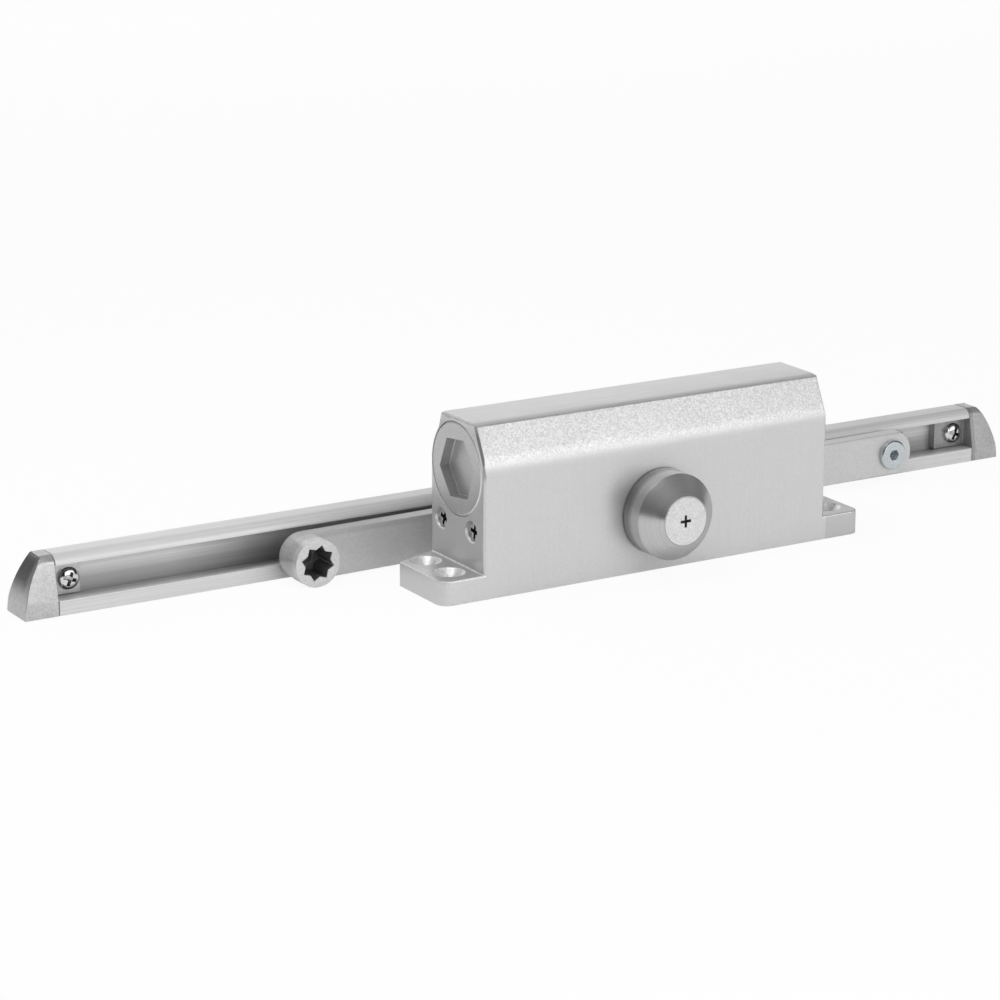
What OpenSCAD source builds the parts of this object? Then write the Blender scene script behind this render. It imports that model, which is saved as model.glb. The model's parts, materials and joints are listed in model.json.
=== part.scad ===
// Slide arm door closer: rack and pinion closer body, slide track and loose slide arm.
// Millimetres. +Z points away from the door, X runs along the closer, Y across it.
// The origin is the centre of the four fixing holes, on the plane the feet stand on.

/* [Closer housing] */
// Length of the cast body between its end faces
body_l = 151; // [140:1:190]
// Depth of the body from its front face to its rear face
body_d = 38.1; // [37:0.1:44]
// Height of the body above the mounting plane
body_h = 63.6; // [62.8:0.1:70]
// How far the front top edge stands back from the front face
front_top_in = 6.85; // [4:0.05:8]
// Lean of the slanted front face from upright, in degrees
front_lean = 25.5; // [20:0.1:30]
// Radius of the soft bend between the upright and the slanted front face
bend_r = 18; // [8:1:24]
// How far the rear top edge stands in from the rear face
rear_top_in = 7.7; // [7:0.1:9]
// Width of the flat bevel along the front top edge
top_bevel_w = 3; // [1:0.1:4]
// Depth of that bevel
top_bevel_h = 0.9; // [0.4:0.1:1.2]
// Width of the small bevel along the rear top edge
rear_bevel = 0.8; // [0.4:0.1:1.2]
// Width of the bevel round the end faces
end_bevel = 0.8; // [0.4:0.1:1.2]
// Length of each foot beyond the end face
foot_l = 17.5; // [16:0.5:24]
// Thickness of the feet
foot_h = 9.1; // [6:0.1:10]
// Radius of the front corners of the feet
foot_corner_r = 4.5; // [2:0.5:6]
// How far the rear edge of each foot slants inwards on its way to the end
foot_rear_in = 7.2; // [3:0.1:7.4]
// Distance between the fixing holes along the closer
hole_spacing_x = 168; // [167:0.5:170]
// Distance between the fixing holes across the closer
hole_spacing_y = 16.9; // [15:0.1:20]
// Radius of the fixing holes
fix_hole_r = 3.1; // [2.5:0.1:3.5]
// Radius of the countersinks of the fixing holes
fix_csk_r = 6; // [5:0.1:6.5]

/* [Cylinder, piston and springs] */
// Radius of the cylinder bore
bore_r = 15; // [14.5:0.1:15.5]
// Height of the cylinder axis above the mounting plane
bore_z = 44.4; // [43.5:0.1:45]
// How far the cylinder axis lies behind the middle of the body
bore_y = 0.5; // [0:0.1:0.6]
// Length of the solid piston head on the valve side
piston_head_l = 22; // [16:1:24]
// Oil space between the piston and the left end plug at rest
oil_space = 6; // [4:0.5:8]
// Thickness of the piston wall between the rack chamber and the spring pocket
piston_web = 2.5; // [2:0.1:3]
// Depth of the spring pocket in the piston
pocket_depth = 6; // [4:0.5:8]
// Wall of the piston round the spring pocket
pocket_wall = 1.05; // [0.8:0.05:1.2]
// Radius of the check ball in the piston head
ball_r = 2.2; // [2:0.1:2.5]
// Mean radius of the outer return spring
outer_spring_r = 11.6; // [11.2:0.1:11.8]
// Wire radius of the outer return spring
outer_wire_r = 1.7; // [1.4:0.1:1.7]
// Turns of the outer return spring
outer_turns = 6; // [5:1:6]
// Mean radius of the inner return spring
inner_spring_r = 7.2; // [6.5:0.1:7.4]
// Wire radius of the inner return spring
inner_wire_r = 1.1; // [0.9:0.1:1.1]
// Turns of the inner return spring
inner_turns = 8.5; // [7:0.5:9]

/* [Gear] */
// Module of the pinion and the rack
gear_module = 1.8; // [1.75:0.05:1.85]
// Teeth on the pinion
pinion_teeth = 12; // [12:1:12]
// Pressure angle in degrees
pressure_angle = 25; // [25:1:25]
// Face width of the pinion
pinion_w = 16; // [12:1:16]
// Play between the teeth, measured on the pitch line
backlash = 0.3; // [0.2:0.05:0.4]
// Turn of the spindle from closed to fully open, in degrees
spindle_swing = 130; // [90:5:130]

/* [Spindle and its bearings] */
// Height of the spindle axis above the mounting plane
spindle_z = 22.5; // [22:0.1:23.5]
// Radius of the spindle journals
spindle_r = 8; // [7:0.1:8]
// Width across the flats of the square spindle ends
square_w = 9.3; // [9:0.1:10]
// Thickness of the bearing nut's outer lip
nut_lip = 1.2; // [1:0.1:1.5]
// Width of the shaft seals
shaft_seal_w = 2.2; // [1.8:0.1:2.4]
// Wall of the bearing bushes
bush_wall = 2.4; // [1.5:0.1:2.6]
// How far the rear spindle end stands out of the body
spindle_out = 12; // [10:0.5:12]
// Radius of the thread of the spindle end screws, M6
spindle_screw_r = 3; // [2.5:0.5:3]
// Depth of the tapped holes in the spindle ends
spindle_tap_l = 10; // [8:1:12]

/* [Spindle cover] */
// Gap between the cover and the front face
cover_gap = 0.7; // [0.4:0.1:1.2]
// Radius of the cover
cover_r = 16.4; // [15.5:0.1:20]
// Length of the cylindrical part of the cover
cover_rim_l = 9.6; // [6:0.1:12]
// Length of the conical part of the cover
cover_cone_l = 6.8; // [5:0.1:8]
// Radius of the flat screw head at the tip of the cover
cover_head_r = 9.1; // [8:0.1:10]
// Thickness of that screw head
cover_head_t = 1.5; // [1.2:0.1:2]
// Wall thickness of the cover
cover_wall = 2; // [1.5:0.1:2.5]
// Width of the cross recess in the cover screw
cover_cross_w = 4.6; // [3:0.1:6]

/* [End plugs and valves] */
// Radius of the flange of the end plugs
plug_r = 17.5; // [17.2:0.1:17.6]
// Thickness of the plug flange
plug_flange_t = 4.5; // [4:0.1:5]
// Length of the threaded part of the plugs
plug_thread_l = 7; // [6:0.5:8]
// Width across the flats of the hexagon socket in the plugs
plug_hex_w = 21.5; // [17:0.5:22]
// How far the left plug is turned on, in degrees
left_plug_turn = 7; // [0:1:29]
// Depth of the hexagon socket
plug_hex_l = 4.3; // [4:0.1:6]
// Height of the valve screws above the mounting plane
valve_z = 23.1; // [20:0.1:23.4]
// Distance of each valve screw from the line midway between the two
valve_y = 10.75; // [10.5:0.05:11.5]
// How far that line lies behind the middle of the body
valve_mid_y = 1; // [0:0.1:1.2]
// Radius of the valve screws
valve_r = 3.5; // [3:0.1:3.6]
// How deep the valve screws sit below the end face
valve_in = 1.4; // [1:0.1:2]
// Width of the bevel round the mouth of each valve hole
valve_mouth = 0.6; // [0.2:0.1:0.7]

/* [Slide track] */
// Length of the track without its end caps
track_l = 410.8; // [360:0.1:480]
// Depth of the track at its base
track_d = 16.2; // [16:0.1:20]
// Height of the track
track_h = 21.6; // [21.4:0.1:24]
// Width of the track's narrow top face, before its edges are rounded
track_top_w = 9.9; // [9.4:0.1:11]
// Radius of the rounded front top edge
track_edge_r = 3.6; // [1:0.1:4]
// Radius of the rear top edge
track_rear_edge_r = 0.8; // [0.4:0.1:4]
// Height of the lower lip
lip_low_h = 5.6; // [5:0.1:6]
// Height of the upper lip
lip_up_h = 3.8; // [3.6:0.1:4.6]
// Depth of the channel, from the front of the track
channel_d = 10.05; // [9:0.05:11]
// Depth of the wider groove at the back of the channel
groove_d = 3; // [2.5:0.1:3.5]
// How far the groove reaches above and below the channel
groove_side = 1.5; // [1:0.1:2]
// Width of the two grooves in the rear of the track
rear_groove_w = 4.4; // [3:0.1:5]
// Depth of the two grooves in the rear of the track
rear_groove_d = 2.6; // [1.5:0.1:3]
// Middle of the track along X
track_x = -8.8; // [-12:0.1:-5]
// Front of the track behind the middle of the closer body
track_y = 41.45; // [40.5:0.05:60]
// Distance between the two fixing holes of the track
track_hole_spacing = 180; // [160:5:200]
// Radius of the fixing holes of the track
track_hole_r = 2.25; // [2:0.05:2.5]
// Height of those holes above the mounting plane
track_hole_z = 9; // [8.5:0.1:12]

/* [Track end caps] */
// Length of an end cap at its base
cap_l = 13.3; // [12:0.1:16]
// Radius of the rounded end of the cap
cap_end_r = 37.5; // [34:0.5:42]
// How far the middle of that rounding lies below the mounting plane
cap_end_drop = 2; // [0:0.5:4]
// Gap between a cap and the end of the track
cap_joint = 0.15; // [0.1:0.05:0.3]
// Length of the tongue of the left cap in the channel
left_tongue_l = 10.9; // [10.5:0.1:14]
// Length of the tongue of the right cap in the channel
right_tongue_l = 15; // [12:0.1:18]
// Thickness of the tongues
tongue_t = 3.6; // [3:0.1:4]
// Distance of the cap screws from the joint with the track
cap_screw_in = 6.2; // [5.5:0.1:6.5]
// Radius of the cap screws, M4
cap_screw_r = 2; // [1.5:0.5:2]
// Radius of their pan heads
cap_head_r = 4.2; // [3.5:0.1:4.4]
// Height of their pan heads
cap_head_h = 2.5; // [2:0.1:2.8]
// Length of the cap screws under the head
cap_screw_l = 8; // [7:0.5:8]

/* [Slider] */
// Length of the slider block
slider_l = 23; // [20:1:28]
// Clearance of the slider in the channel
slider_gap = 0.15; // [0.1:0.05:0.3]
// How far the slider stands out of the channel
slider_out = 1.1; // [0.8:0.1:1.2]
// Outer radius of the threaded insert
insert_r = 4.4; // [4:0.1:4.8]
// Radius of the thread of the pivot screw, M6
pivot_thread_r = 3; // [2.5:0.5:3]
// Radius of the shoulder that the arm turns on
pivot_r = 4; // [3.8:0.1:4.5]
// Radius of the pivot screw's low head
pivot_head_r = 5.93; // [5.5:0.01:6.2]
// Height of that head
pivot_head_h = 2; // [1.6:0.1:2.4]
// Width across the flats of its hexagon socket
pivot_hex_w = 4; // [3:0.5:4]
// Depth of that socket
pivot_hex_l = 3.2; // [1.4:0.1:3.4]
// Radius of the washer between the arm and the slider
washer_r = 7.5; // [7:0.1:8]

/* [Slide arm] */
// Distance between the middle of the hub and the pivot
arm_c = 267.2; // [230:0.1:300]
// Thickness of the arm
arm_t = 6; // [5:0.1:6.5]
// Height of the arm at the pivot end
arm_h_pivot = 17; // [15:0.1:18]
// Height of the arm at the hub end
arm_h_hub = 17.6; // [16.4:0.1:18.2]
// Radius of the rounded pivot end
arm_end_r = 9.8; // [9.5:0.1:10]
// Space between the back of the arm and the front of the track
arm_gap = 2.45; // [2:0.05:2.6]
// Middle of the hub along X
hub_x = -119.4; // [-125:0.1:-110]
// Radius of the hub
hub_r = 9.1; // [9:0.1:9.6]
// Length of the hub
hub_l = 14; // [12:0.5:14]
// Depth of the star socket in the hub
socket_l = 11; // [9:0.5:11]
// How far the star socket is turned in the hub, in degrees
star_turn = 15; // [0:1:44]
// Wall round the star socket where the hub passes through the bar
spigot_wall = 0.9; // [0.8:0.1:1]
// Clearance of the spindle square in the star socket, each side
socket_gap = 0.1; // [0.05:0.05:0.2]
// Radius of the screw hole through the hub's floor
arm_screw_hole_r = 3.2; // [3.1:0.1:3.4]

/* [Fits] */
// Radial clearance of parts that turn or slide in each other
run_gap = 0.05; // [0.03:0.01:0.08]
// Radial clearance of parts that are fixed in each other
seat_gap = 0.04; // [0.03:0.01:0.06]
// Clearance between flat faces of parts that move past each other
face_gap = 0.1; // [0.08:0.01:0.2]
// Clearance of a spring at its seats
spring_gap = 0.3; // [0.2:0.05:0.4]

/* [Hidden] */
$fn = 64;

// A little more than a surface, so that a cut goes clean through it
over = 0.5;
half_l = body_l / 2;
half_d = body_d / 2;

// Gear: the pitch line of the rack touches the pitch circle of the pinion
pitch_r = gear_module * pinion_teeth / 2;
base_r = pitch_r * cos(pressure_angle);
tip_r = pitch_r + 0.9 * gear_module;
root_r = pitch_r - 1.2 * gear_module;
rack_pitch = PI * gear_module;
rack_z = spindle_z + pitch_r;
rack_tip_z = rack_z - 0.9 * gear_module;
rack_root_z = rack_z + 1.2 * gear_module;

// Cylinder, from the left plug to the right plug
plug_l = plug_flange_t + plug_thread_l;
bore_half_l = half_l - plug_l;
plug_thread_r = bore_r + 1;
plug_seat_r = plug_r + seat_gap;
piston_r = bore_r - run_gap;
piston_x0 = -bore_half_l + oil_space;
rack_x0 = piston_x0 + piston_head_l;
rack_x1 = tip_r - 1;
pocket_x = rack_x1 + piston_web;
piston_x1 = pocket_x + pocket_depth;

// Spindle
spindle_bore_r = tip_r + 1.05;
shoulder_r = spindle_r + 1;
nut_r = spindle_bore_r - seat_gap;
bush_r = spindle_r + run_gap + bush_wall;
bush_seat_r = bush_r + seat_gap;
lip_hole_r = spindle_r + 0.3;

// Distance from the middle of the body at which a round of radius r on the spindle axis
// comes clear of the cylinder above it
function clear_of_cylinder(r) = sqrt(bore_r ^ 2 - (bore_z - spindle_z - r) ^ 2) + 0.2;
nut_in = bore_y + clear_of_cylinder(nut_r);
bush_in = bore_y + clear_of_cylinder(bush_r);
shoulder_y = bush_in - 2 * face_gap;
spindle_rear = half_d + spindle_out;
cover_y0 = -half_d - cover_gap;
cover_y1 = cover_y0 - cover_rim_l;
cover_y2 = cover_y1 - cover_cone_l;
cover_web_t = 3;
spindle_front = cover_y2 + cover_head_t + cover_web_t;
square_start = half_d + 2;

// Track section
channel_h = track_h - lip_low_h - lip_up_h;
pivot_z = lip_low_h + channel_h / 2;
track_x0 = track_x - track_l / 2;
track_x1 = track_x + track_l / 2;
track_rear = track_y + track_d;
track_top_y0 = track_y + (track_d - track_top_w) / 2;
track_top_y1 = track_top_y0 + track_top_w;
channel_back = track_y + channel_d;
groove_y = channel_back - groove_d;
tongue_y = channel_back - tongue_t - seat_gap;

// Arm: it hangs from the slider and its hub rests on the mounting plane
arm_droop = asin((pivot_z - hub_r) / arm_c);
pivot_x = hub_x + arm_c * cos(arm_droop);
arm_rear = track_y - arm_gap;
arm_front = arm_rear - arm_t;
hub_front = arm_rear - hub_l;
socket_w = square_w + 2 * socket_gap;
slider_front = track_y - slider_out;
washer_y0 = arm_rear + face_gap;

module x_rod(r, x0, x1, y = 0, z = 0) {
    translate([x0, y, z]) rotate([0, 90, 0]) cylinder(r = r, h = x1 - x0);
}

module y_rod(r, y0, y1, x = 0, z = 0) {
    translate([x, y0, z]) rotate([-90, 0, 0]) cylinder(r = r, h = y1 - y0);
}

// A cone along Y with radius r0 at y0 and r1 at y1
module y_cone(r0, r1, y0, y1, x = 0, z = 0) {
    translate([x, y0, z]) rotate([-90, 0, 0]) cylinder(r1 = r0, r2 = r1, h = y1 - y0);
}

// Draws a YZ outline and stretches it along X
module along_x(x0, x1) {
    translate([x0, 0, 0]) rotate([90, 0, 90]) linear_extrude(x1 - x0) children();
}

// Draws an XZ outline and stretches it along Y
module along_y(y0, y1) {
    translate([0, y1, 0]) rotate([90, 0, 0]) linear_extrude(y1 - y0) children();
}

module ring_seal(mean_r, wire_r) {
    rotate_extrude() translate([mean_r, 0]) circle(wire_r, $fn = 24);
}

module cross(width, slot) {
    square([width, slot], center = true);
    square([slot, width], center = true);
}

// Housing. Where the slanted face would meet the front face if there were no bend
bend_z = body_h - front_top_in / tan(front_lean);
bend_run = bend_r * tan(front_lean / 2);
rear_arc_turn = 48;

// Section of the body, without the round wall behind the cylinder
module body_outline() {
    polygon([
        [-half_d, 0],
        [half_d, 0],
        [half_d, bore_z],
        [half_d * cos(rear_arc_turn), bore_z + half_d * sin(rear_arc_turn)],
        [half_d - rear_top_in, body_h - rear_bevel],
        [half_d - rear_top_in - rear_bevel, body_h],
        [-half_d + front_top_in + top_bevel_w, body_h],
        [-half_d + front_top_in - top_bevel_h * tan(front_lean), body_h - top_bevel_h],
        [-half_d + bend_run * sin(front_lean), bend_z + bend_run * cos(front_lean)],
        [-half_d, bend_z - bend_run],
    ]);
    translate([-half_d + bend_r, bend_z - bend_run]) circle(bend_r);
}

// A slab whose two ends are bevelled along the face that looks along angle from up
module bevelled_slab(angle, face) {
    translate([0, 0, bore_z]) rotate([angle, 0, 0]) along_y(-2 * body_h, 2 * body_h) polygon([
        [-half_l, -2 * body_h],
        [half_l, -2 * body_h],
        [half_l, face - end_bevel],
        [half_l - end_bevel, face],
        [-half_l + end_bevel, face],
        [-half_l, face - end_bevel],
    ]);
}

module body_block() {
    lean_face = (half_d - front_top_in) * cos(front_lean) + (body_h - bore_z) * sin(front_lean);
    intersection() {
        along_x(-half_l, half_l) body_outline();
        bevelled_slab(0, body_h - bore_z);
        bevelled_slab(90, half_d);
        bevelled_slab(-90, half_d);
        bevelled_slab(90 - front_lean, lean_face);
    }
    x_rod(half_d, -half_l + end_bevel, half_l - end_bevel, 0, bore_z);
    for (side = [-1, 1]) translate([side * (half_l - end_bevel), 0, bore_z])
        rotate([0, side * 90, 0]) cylinder(r1 = half_d, r2 = half_d - end_bevel, h = end_bevel);
}

module feet() {
    foot_half = half_l + foot_l;
    front_y = -half_d + foot_corner_r;
    rear_y = half_d - foot_rear_in;
    linear_extrude(foot_h) {
        polygon([
            [-foot_half, front_y],
            [foot_half, front_y],
            [foot_half, rear_y],
            [half_l, half_d],
            [-half_l, half_d],
            [-foot_half, rear_y],
        ]);
        translate([foot_corner_r - foot_half, -half_d])
            square([2 * (foot_half - foot_corner_r), foot_corner_r + over]);
        for (side = [-1, 1])
            translate([side * (foot_half - foot_corner_r), front_y]) circle(foot_corner_r);
    }
}

module fixing_holes() {
    sink = fix_csk_r - fix_hole_r;
    for (sx = [-1, 1], sy = [-1, 1])
        translate([sx * hole_spacing_x / 2, sy * hole_spacing_y / 2, 0]) {
            translate([0, 0, -over]) cylinder(r = fix_hole_r, h = foot_h + 2 * over);
            translate([0, 0, foot_h - sink])
                cylinder(r1 = fix_hole_r, r2 = fix_csk_r + over, h = sink + over);
        }
}

// Valve screws: where they sit along X
valve_x0 = -half_l + valve_in;
valve_head_l = 2.8;
valve_groove_l = 1.3;
valve_land_l = 3.6;
valve_neck_l = 5;
valve_needle_l = 4;
valve_neck_x = valve_x0 + valve_head_l + valve_groove_l + valve_land_l;
valve_seat_x = valve_neck_x + valve_neck_l + 0.5;
valve_hole_r = valve_r + run_gap;
oil_way_r = 1.4;

// Oil ways of one valve: to the cylinder above it and to the chamber of the pinion
module valve_hole(y) {
    x_rod(valve_hole_r, -half_l - over, valve_seat_x, y, valve_z);
    translate([-half_l, y, valve_z]) rotate([0, 90, 0])
        cylinder(r1 = valve_hole_r + valve_mouth, r2 = valve_hole_r, h = valve_mouth);
    x_rod(oil_way_r, valve_seat_x - over, 0, y, valve_z);
    translate([valve_neck_x + valve_neck_l / 2, y, valve_z])
        cylinder(r = oil_way_r, h = bore_z - valve_z);
}

module housing() {
    color([0.80, 0.80, 0.80]) difference() {
        union() {
            body_block();
            feet();
        }
        x_rod(bore_r, -bore_half_l - over, bore_half_l + over, bore_y, bore_z);
        for (side = [-1, 1]) {
            thread_x = side * (bore_half_l + plug_thread_l / 2);
            flange_x = side * (half_l - plug_flange_t / 2 + over / 2);
            translate([thread_x, bore_y, bore_z]) rotate([0, 90, 0])
                cylinder(r = plug_thread_r, h = plug_thread_l + over, center = true);
            translate([flange_x, bore_y, bore_z]) rotate([0, 90, 0])
                cylinder(r = plug_seat_r, h = plug_flange_t + over, center = true);
        }
        y_rod(spindle_bore_r, -half_d - over, half_d + over, 0, spindle_z);
        valve_hole(valve_mid_y - valve_y);
        valve_hole(valve_mid_y + valve_y);
        fixing_holes();
    }
}

// End plugs. Drawn for the left end, the outer face looks along -X
plug_groove_w = 2.2;
plug_groove_depth = 1.4;
plug_rim_bevel = 0.6;
module end_plug() {
    body_r = plug_thread_r - seat_gap;
    inner_x = plug_l - 0.2;
    groove_x = inner_x - plug_groove_w - 1.2;
    difference() {
        union() {
            x_rod(plug_r, plug_rim_bevel, plug_flange_t - seat_gap);
            rotate([0, 90, 0]) cylinder(r1 = plug_r - plug_rim_bevel, r2 = plug_r, h = plug_rim_bevel);
            x_rod(body_r, plug_flange_t - over, inner_x);
        }
        along_x(-over, plug_hex_l) circle(plug_hex_w / 2 / cos(30), $fn = 6);
        difference() {
            x_rod(body_r + over, groove_x, groove_x + plug_groove_w);
            x_rod(body_r - plug_groove_depth, groove_x - over, groove_x + plug_groove_w + over);
        }
    }
}

module plug_seal() {
    body_r = plug_thread_r - seat_gap;
    groove_x = plug_l - 0.2 - plug_groove_w - 1.2;
    ring_r = plug_groove_depth / 2;
    translate([groove_x + plug_groove_w / 2, 0, 0]) rotate([0, 90, 0])
        ring_seal(body_r - ring_r, ring_r - seat_gap);
}

module at_left_end() {
    translate([-half_l, bore_y, bore_z]) children();
}

module at_right_end() {
    translate([half_l, bore_y, bore_z]) rotate([0, 0, 180]) children();
}

module left_end_plug() {
    color([0.68, 0.68, 0.68]) at_left_end() rotate([-left_plug_turn, 0, 0]) end_plug();
}

module right_end_plug() {
    color([0.68, 0.68, 0.68]) at_right_end() end_plug();
}

module left_plug_seal() {
    color([0.1, 0.1, 0.1]) at_left_end() plug_seal();
}

module right_plug_seal() {
    color([0.1, 0.1, 0.1]) at_right_end() plug_seal();
}

// Bearings. Drawn for the rear side, the outer face looks along +Y
module bearing_nut() {
    difference() {
        y_rod(nut_r, nut_in, half_d);
        y_rod(lip_hole_r, nut_in - over, half_d + over);
        y_rod(bush_seat_r, nut_in - over, half_d - nut_lip);
        for (side = [-1, 1]) y_rod(1, half_d - 3, half_d + over, side * (nut_r + bush_seat_r) / 2);
    }
}

module shaft_seal() {
    y1 = half_d - nut_lip - seat_gap;
    difference() {
        y_rod(bush_r, y1 - shaft_seal_w, y1);
        y_rod(spindle_r + run_gap, y1 - shaft_seal_w - over, y1 + over);
    }
}

module bush() {
    y1 = half_d - nut_lip - shaft_seal_w - 2 * seat_gap;
    difference() {
        y_rod(bush_r, bush_in, y1);
        y_rod(spindle_r + run_gap, bush_in - over, y1 + over);
    }
}

module at_rear() {
    translate([0, 0, spindle_z]) children();
}

module at_front() {
    translate([0, 0, spindle_z]) rotate([0, 0, 180]) children();
}

module front_bearing_nut() {
    color([0.62, 0.62, 0.64]) at_front() bearing_nut();
}

module rear_bearing_nut() {
    color([0.62, 0.62, 0.64]) at_rear() bearing_nut();
}

module front_bush() {
    color([0.72, 0.55, 0.28]) at_front() bush();
}

module rear_bush() {
    color([0.72, 0.55, 0.28]) at_rear() bush();
}

module front_shaft_seal() {
    color([0.1, 0.1, 0.1]) at_front() shaft_seal();
}

module rear_shaft_seal() {
    color([0.1, 0.1, 0.1]) at_rear() shaft_seal();
}

// Springs. Both ends have one closed turn, and the turns between them share the rest
rings_per_turn = 8;
wire_sides = 6;
closed_space = 0.6;
spring_x0 = pocket_x + spring_gap;
spring_x1 = bore_half_l + 0.2 - spring_gap;

function spring_x(t, turns, wire_r, span) =
    let (closed = 2 * wire_r + closed_space, open = (span - 2 * closed) / (turns - 2))
    t < 1 ? t * closed : t > turns - 1 ? span - (turns - t) * closed : closed + (t - 1) * open;

function spring_centres(mean_r, wire_r, turns, hand) = [
    for (i = [0 : turns * rings_per_turn])
        let (t = i / rings_per_turn, span = spring_x1 - spring_x0 - 2 * wire_r)
        [
            spring_x0 + wire_r + spring_x(t, turns, wire_r, span),
            mean_r * cos(360 * t) * hand,
            mean_r * sin(360 * t),
        ]
];

function unit(v) = v / norm(v);

// Corners of the wire's cross-section round each centre
function spring_corners(c, wire_r) = [
    for (i = [0 : len(c) - 1])
        let (ahead = c[min(i + 1, len(c) - 1)], behind = c[max(i - 1, 0)],
            along = unit(ahead - behind), out = unit([0, c[i][1], c[i][2]]),
            side = unit(cross(along, out)), up = cross(side, along))
        for (k = [0 : wire_sides - 1])
            let (a = 360 * k / wire_sides)
            c[i] + wire_r * (cos(a) * up + sin(a) * side)
];

function tube_faces(rings) = concat(
    [for (i = [0 : rings - 2], k = [0 : wire_sides - 1])
        let (a = i * wire_sides + k, b = i * wire_sides + (k + 1) % wire_sides)
        [a, b, b + wire_sides]],
    [for (i = [0 : rings - 2], k = [0 : wire_sides - 1])
        let (a = i * wire_sides + k, b = i * wire_sides + (k + 1) % wire_sides)
        [a, b + wire_sides, a + wire_sides]],
    [for (k = [1 : wire_sides - 2]) [0, k + 1, k]],
    [for (k = [1 : wire_sides - 2])
        let (last = (rings - 1) * wire_sides)
        [last, last + k, last + k + 1]]
);

// Least distance between stretches of wire that are half a turn or more apart
function least_gap(c, wire_r) = min([
    for (i = [0 : len(c) - 1], j = [i + rings_per_turn / 2 : 1 : len(c) - 1])
        norm(c[i] - c[j]) - 2 * wire_r
]);

module spring(mean_r, wire_r, turns, hand) {
    c = spring_centres(mean_r, wire_r, turns, hand);
    translate([0, bore_y, bore_z])
        polyhedron(points = spring_corners(c, wire_r), faces = tube_faces(len(c)));
}

module outer_spring() {
    color([0.35, 0.35, 0.37]) spring(outer_spring_r, outer_wire_r, outer_turns, 1);
}

module inner_spring() {
    color([0.35, 0.35, 0.37]) spring(inner_spring_r, inner_wire_r, inner_turns, -1);
}

echo(least_gap_outer = least_gap(
    spring_centres(outer_spring_r, outer_wire_r, outer_turns, 1), outer_wire_r));
echo(least_gap_inner = least_gap(
    spring_centres(inner_spring_r, inner_wire_r, inner_turns, -1), inner_wire_r));

// Pinion. Tooth flanks are involutes of the base circle
flank_steps = 5;
function inv(a) = tan(a) - a * PI / 180;
function polar(r, a) = [r * cos(a), r * sin(a)];
pitch_half_tooth = 90 / pinion_teeth - (backlash / 2 / pitch_r) * 90 / PI;
function flank_angle(r) =
    pitch_half_tooth + (inv(pressure_angle) - inv(acos(min(1, base_r / r)))) * 180 / PI;
function tooth(middle) = concat(
    [polar(root_r, middle - flank_angle(base_r) - 1)],
    [for (i = [0 : flank_steps])
        let (r = base_r + (tip_r - base_r) * i / flank_steps) polar(r, middle - flank_angle(r))],
    [for (i = [flank_steps : -1 : 0])
        let (r = base_r + (tip_r - base_r) * i / flank_steps) polar(r, middle + flank_angle(r))],
    [polar(root_r, middle + flank_angle(base_r) + 1)]
);

// The first tooth points up at rest, into a space of the rack
module pinion_outline() {
    polygon([for (k = [0 : pinion_teeth - 1]) each tooth(90 + 360 * k / pinion_teeth)]);
}

module square_end(y0, y1) {
    translate([-square_w / 2, y0, -square_w / 2]) cube([square_w, y1 - y0, square_w]);
}

module pinion_spindle() {
    tap_r = spindle_screw_r;
    color([0.58, 0.58, 0.60]) translate([0, 0, spindle_z]) difference() {
        union() {
            along_y(-pinion_w / 2, pinion_w / 2) pinion_outline();
            y_rod(shoulder_r, -shoulder_y, -pinion_w / 2 + over);
            y_rod(shoulder_r, pinion_w / 2 - over, shoulder_y);
            y_rod(spindle_r, -square_start, -shoulder_y + over);
            y_rod(spindle_r, shoulder_y - over, square_start);
            square_end(square_start - over, spindle_rear);
            square_end(spindle_front, -square_start + over);
        }
        y_rod(tap_r, spindle_rear - spindle_tap_l, spindle_rear + over);
        y_rod(tap_r, spindle_front - over, spindle_front + spindle_tap_l);
    }
}

// Spindle cover: a hollow cone frustum with a boss that grips the square
module spindle_cover() {
    web_y = cover_y2 + cover_head_t;
    inner_r = cover_r - cover_wall;
    seat_r = cover_head_r + seat_gap;
    hole_r = spindle_screw_r + 0.2;
    boss_r = square_w * 0.75 + 1.6;
    boss_y = spindle_front + 4;
    socket = square_w + 2 * seat_gap;
    color([0.72, 0.72, 0.72]) translate([0, 0, spindle_z]) difference() {
        rotate([-90, 0, 0]) rotate_extrude() polygon([
            [inner_r, cover_y0],
            [cover_r, cover_y0],
            [cover_r, cover_y1],
            [seat_r + 0.3, cover_y2],
            [seat_r, cover_y2],
            [seat_r, web_y],
            [hole_r, web_y],
            [hole_r, boss_y],
            [boss_r, boss_y],
            [boss_r, spindle_front],
            [boss_r + 1, spindle_front],
            [inner_r, cover_y1],
        ]);
        translate([-socket / 2, spindle_front, -socket / 2]) cube([socket, 5, socket]);
    }
}

module cover_screw() {
    color([0.82, 0.82, 0.83]) translate([0, 0, spindle_z]) difference() {
        union() {
            y_rod(cover_head_r, cover_y2, cover_y2 + cover_head_t - seat_gap);
            y_rod(spindle_screw_r - seat_gap, cover_y2 + over, spindle_front + spindle_tap_l - 2);
        }
        along_y(cover_y2 - over, cover_y2 + 2.4) cross(cover_cross_w, 1);
    }
}

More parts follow.
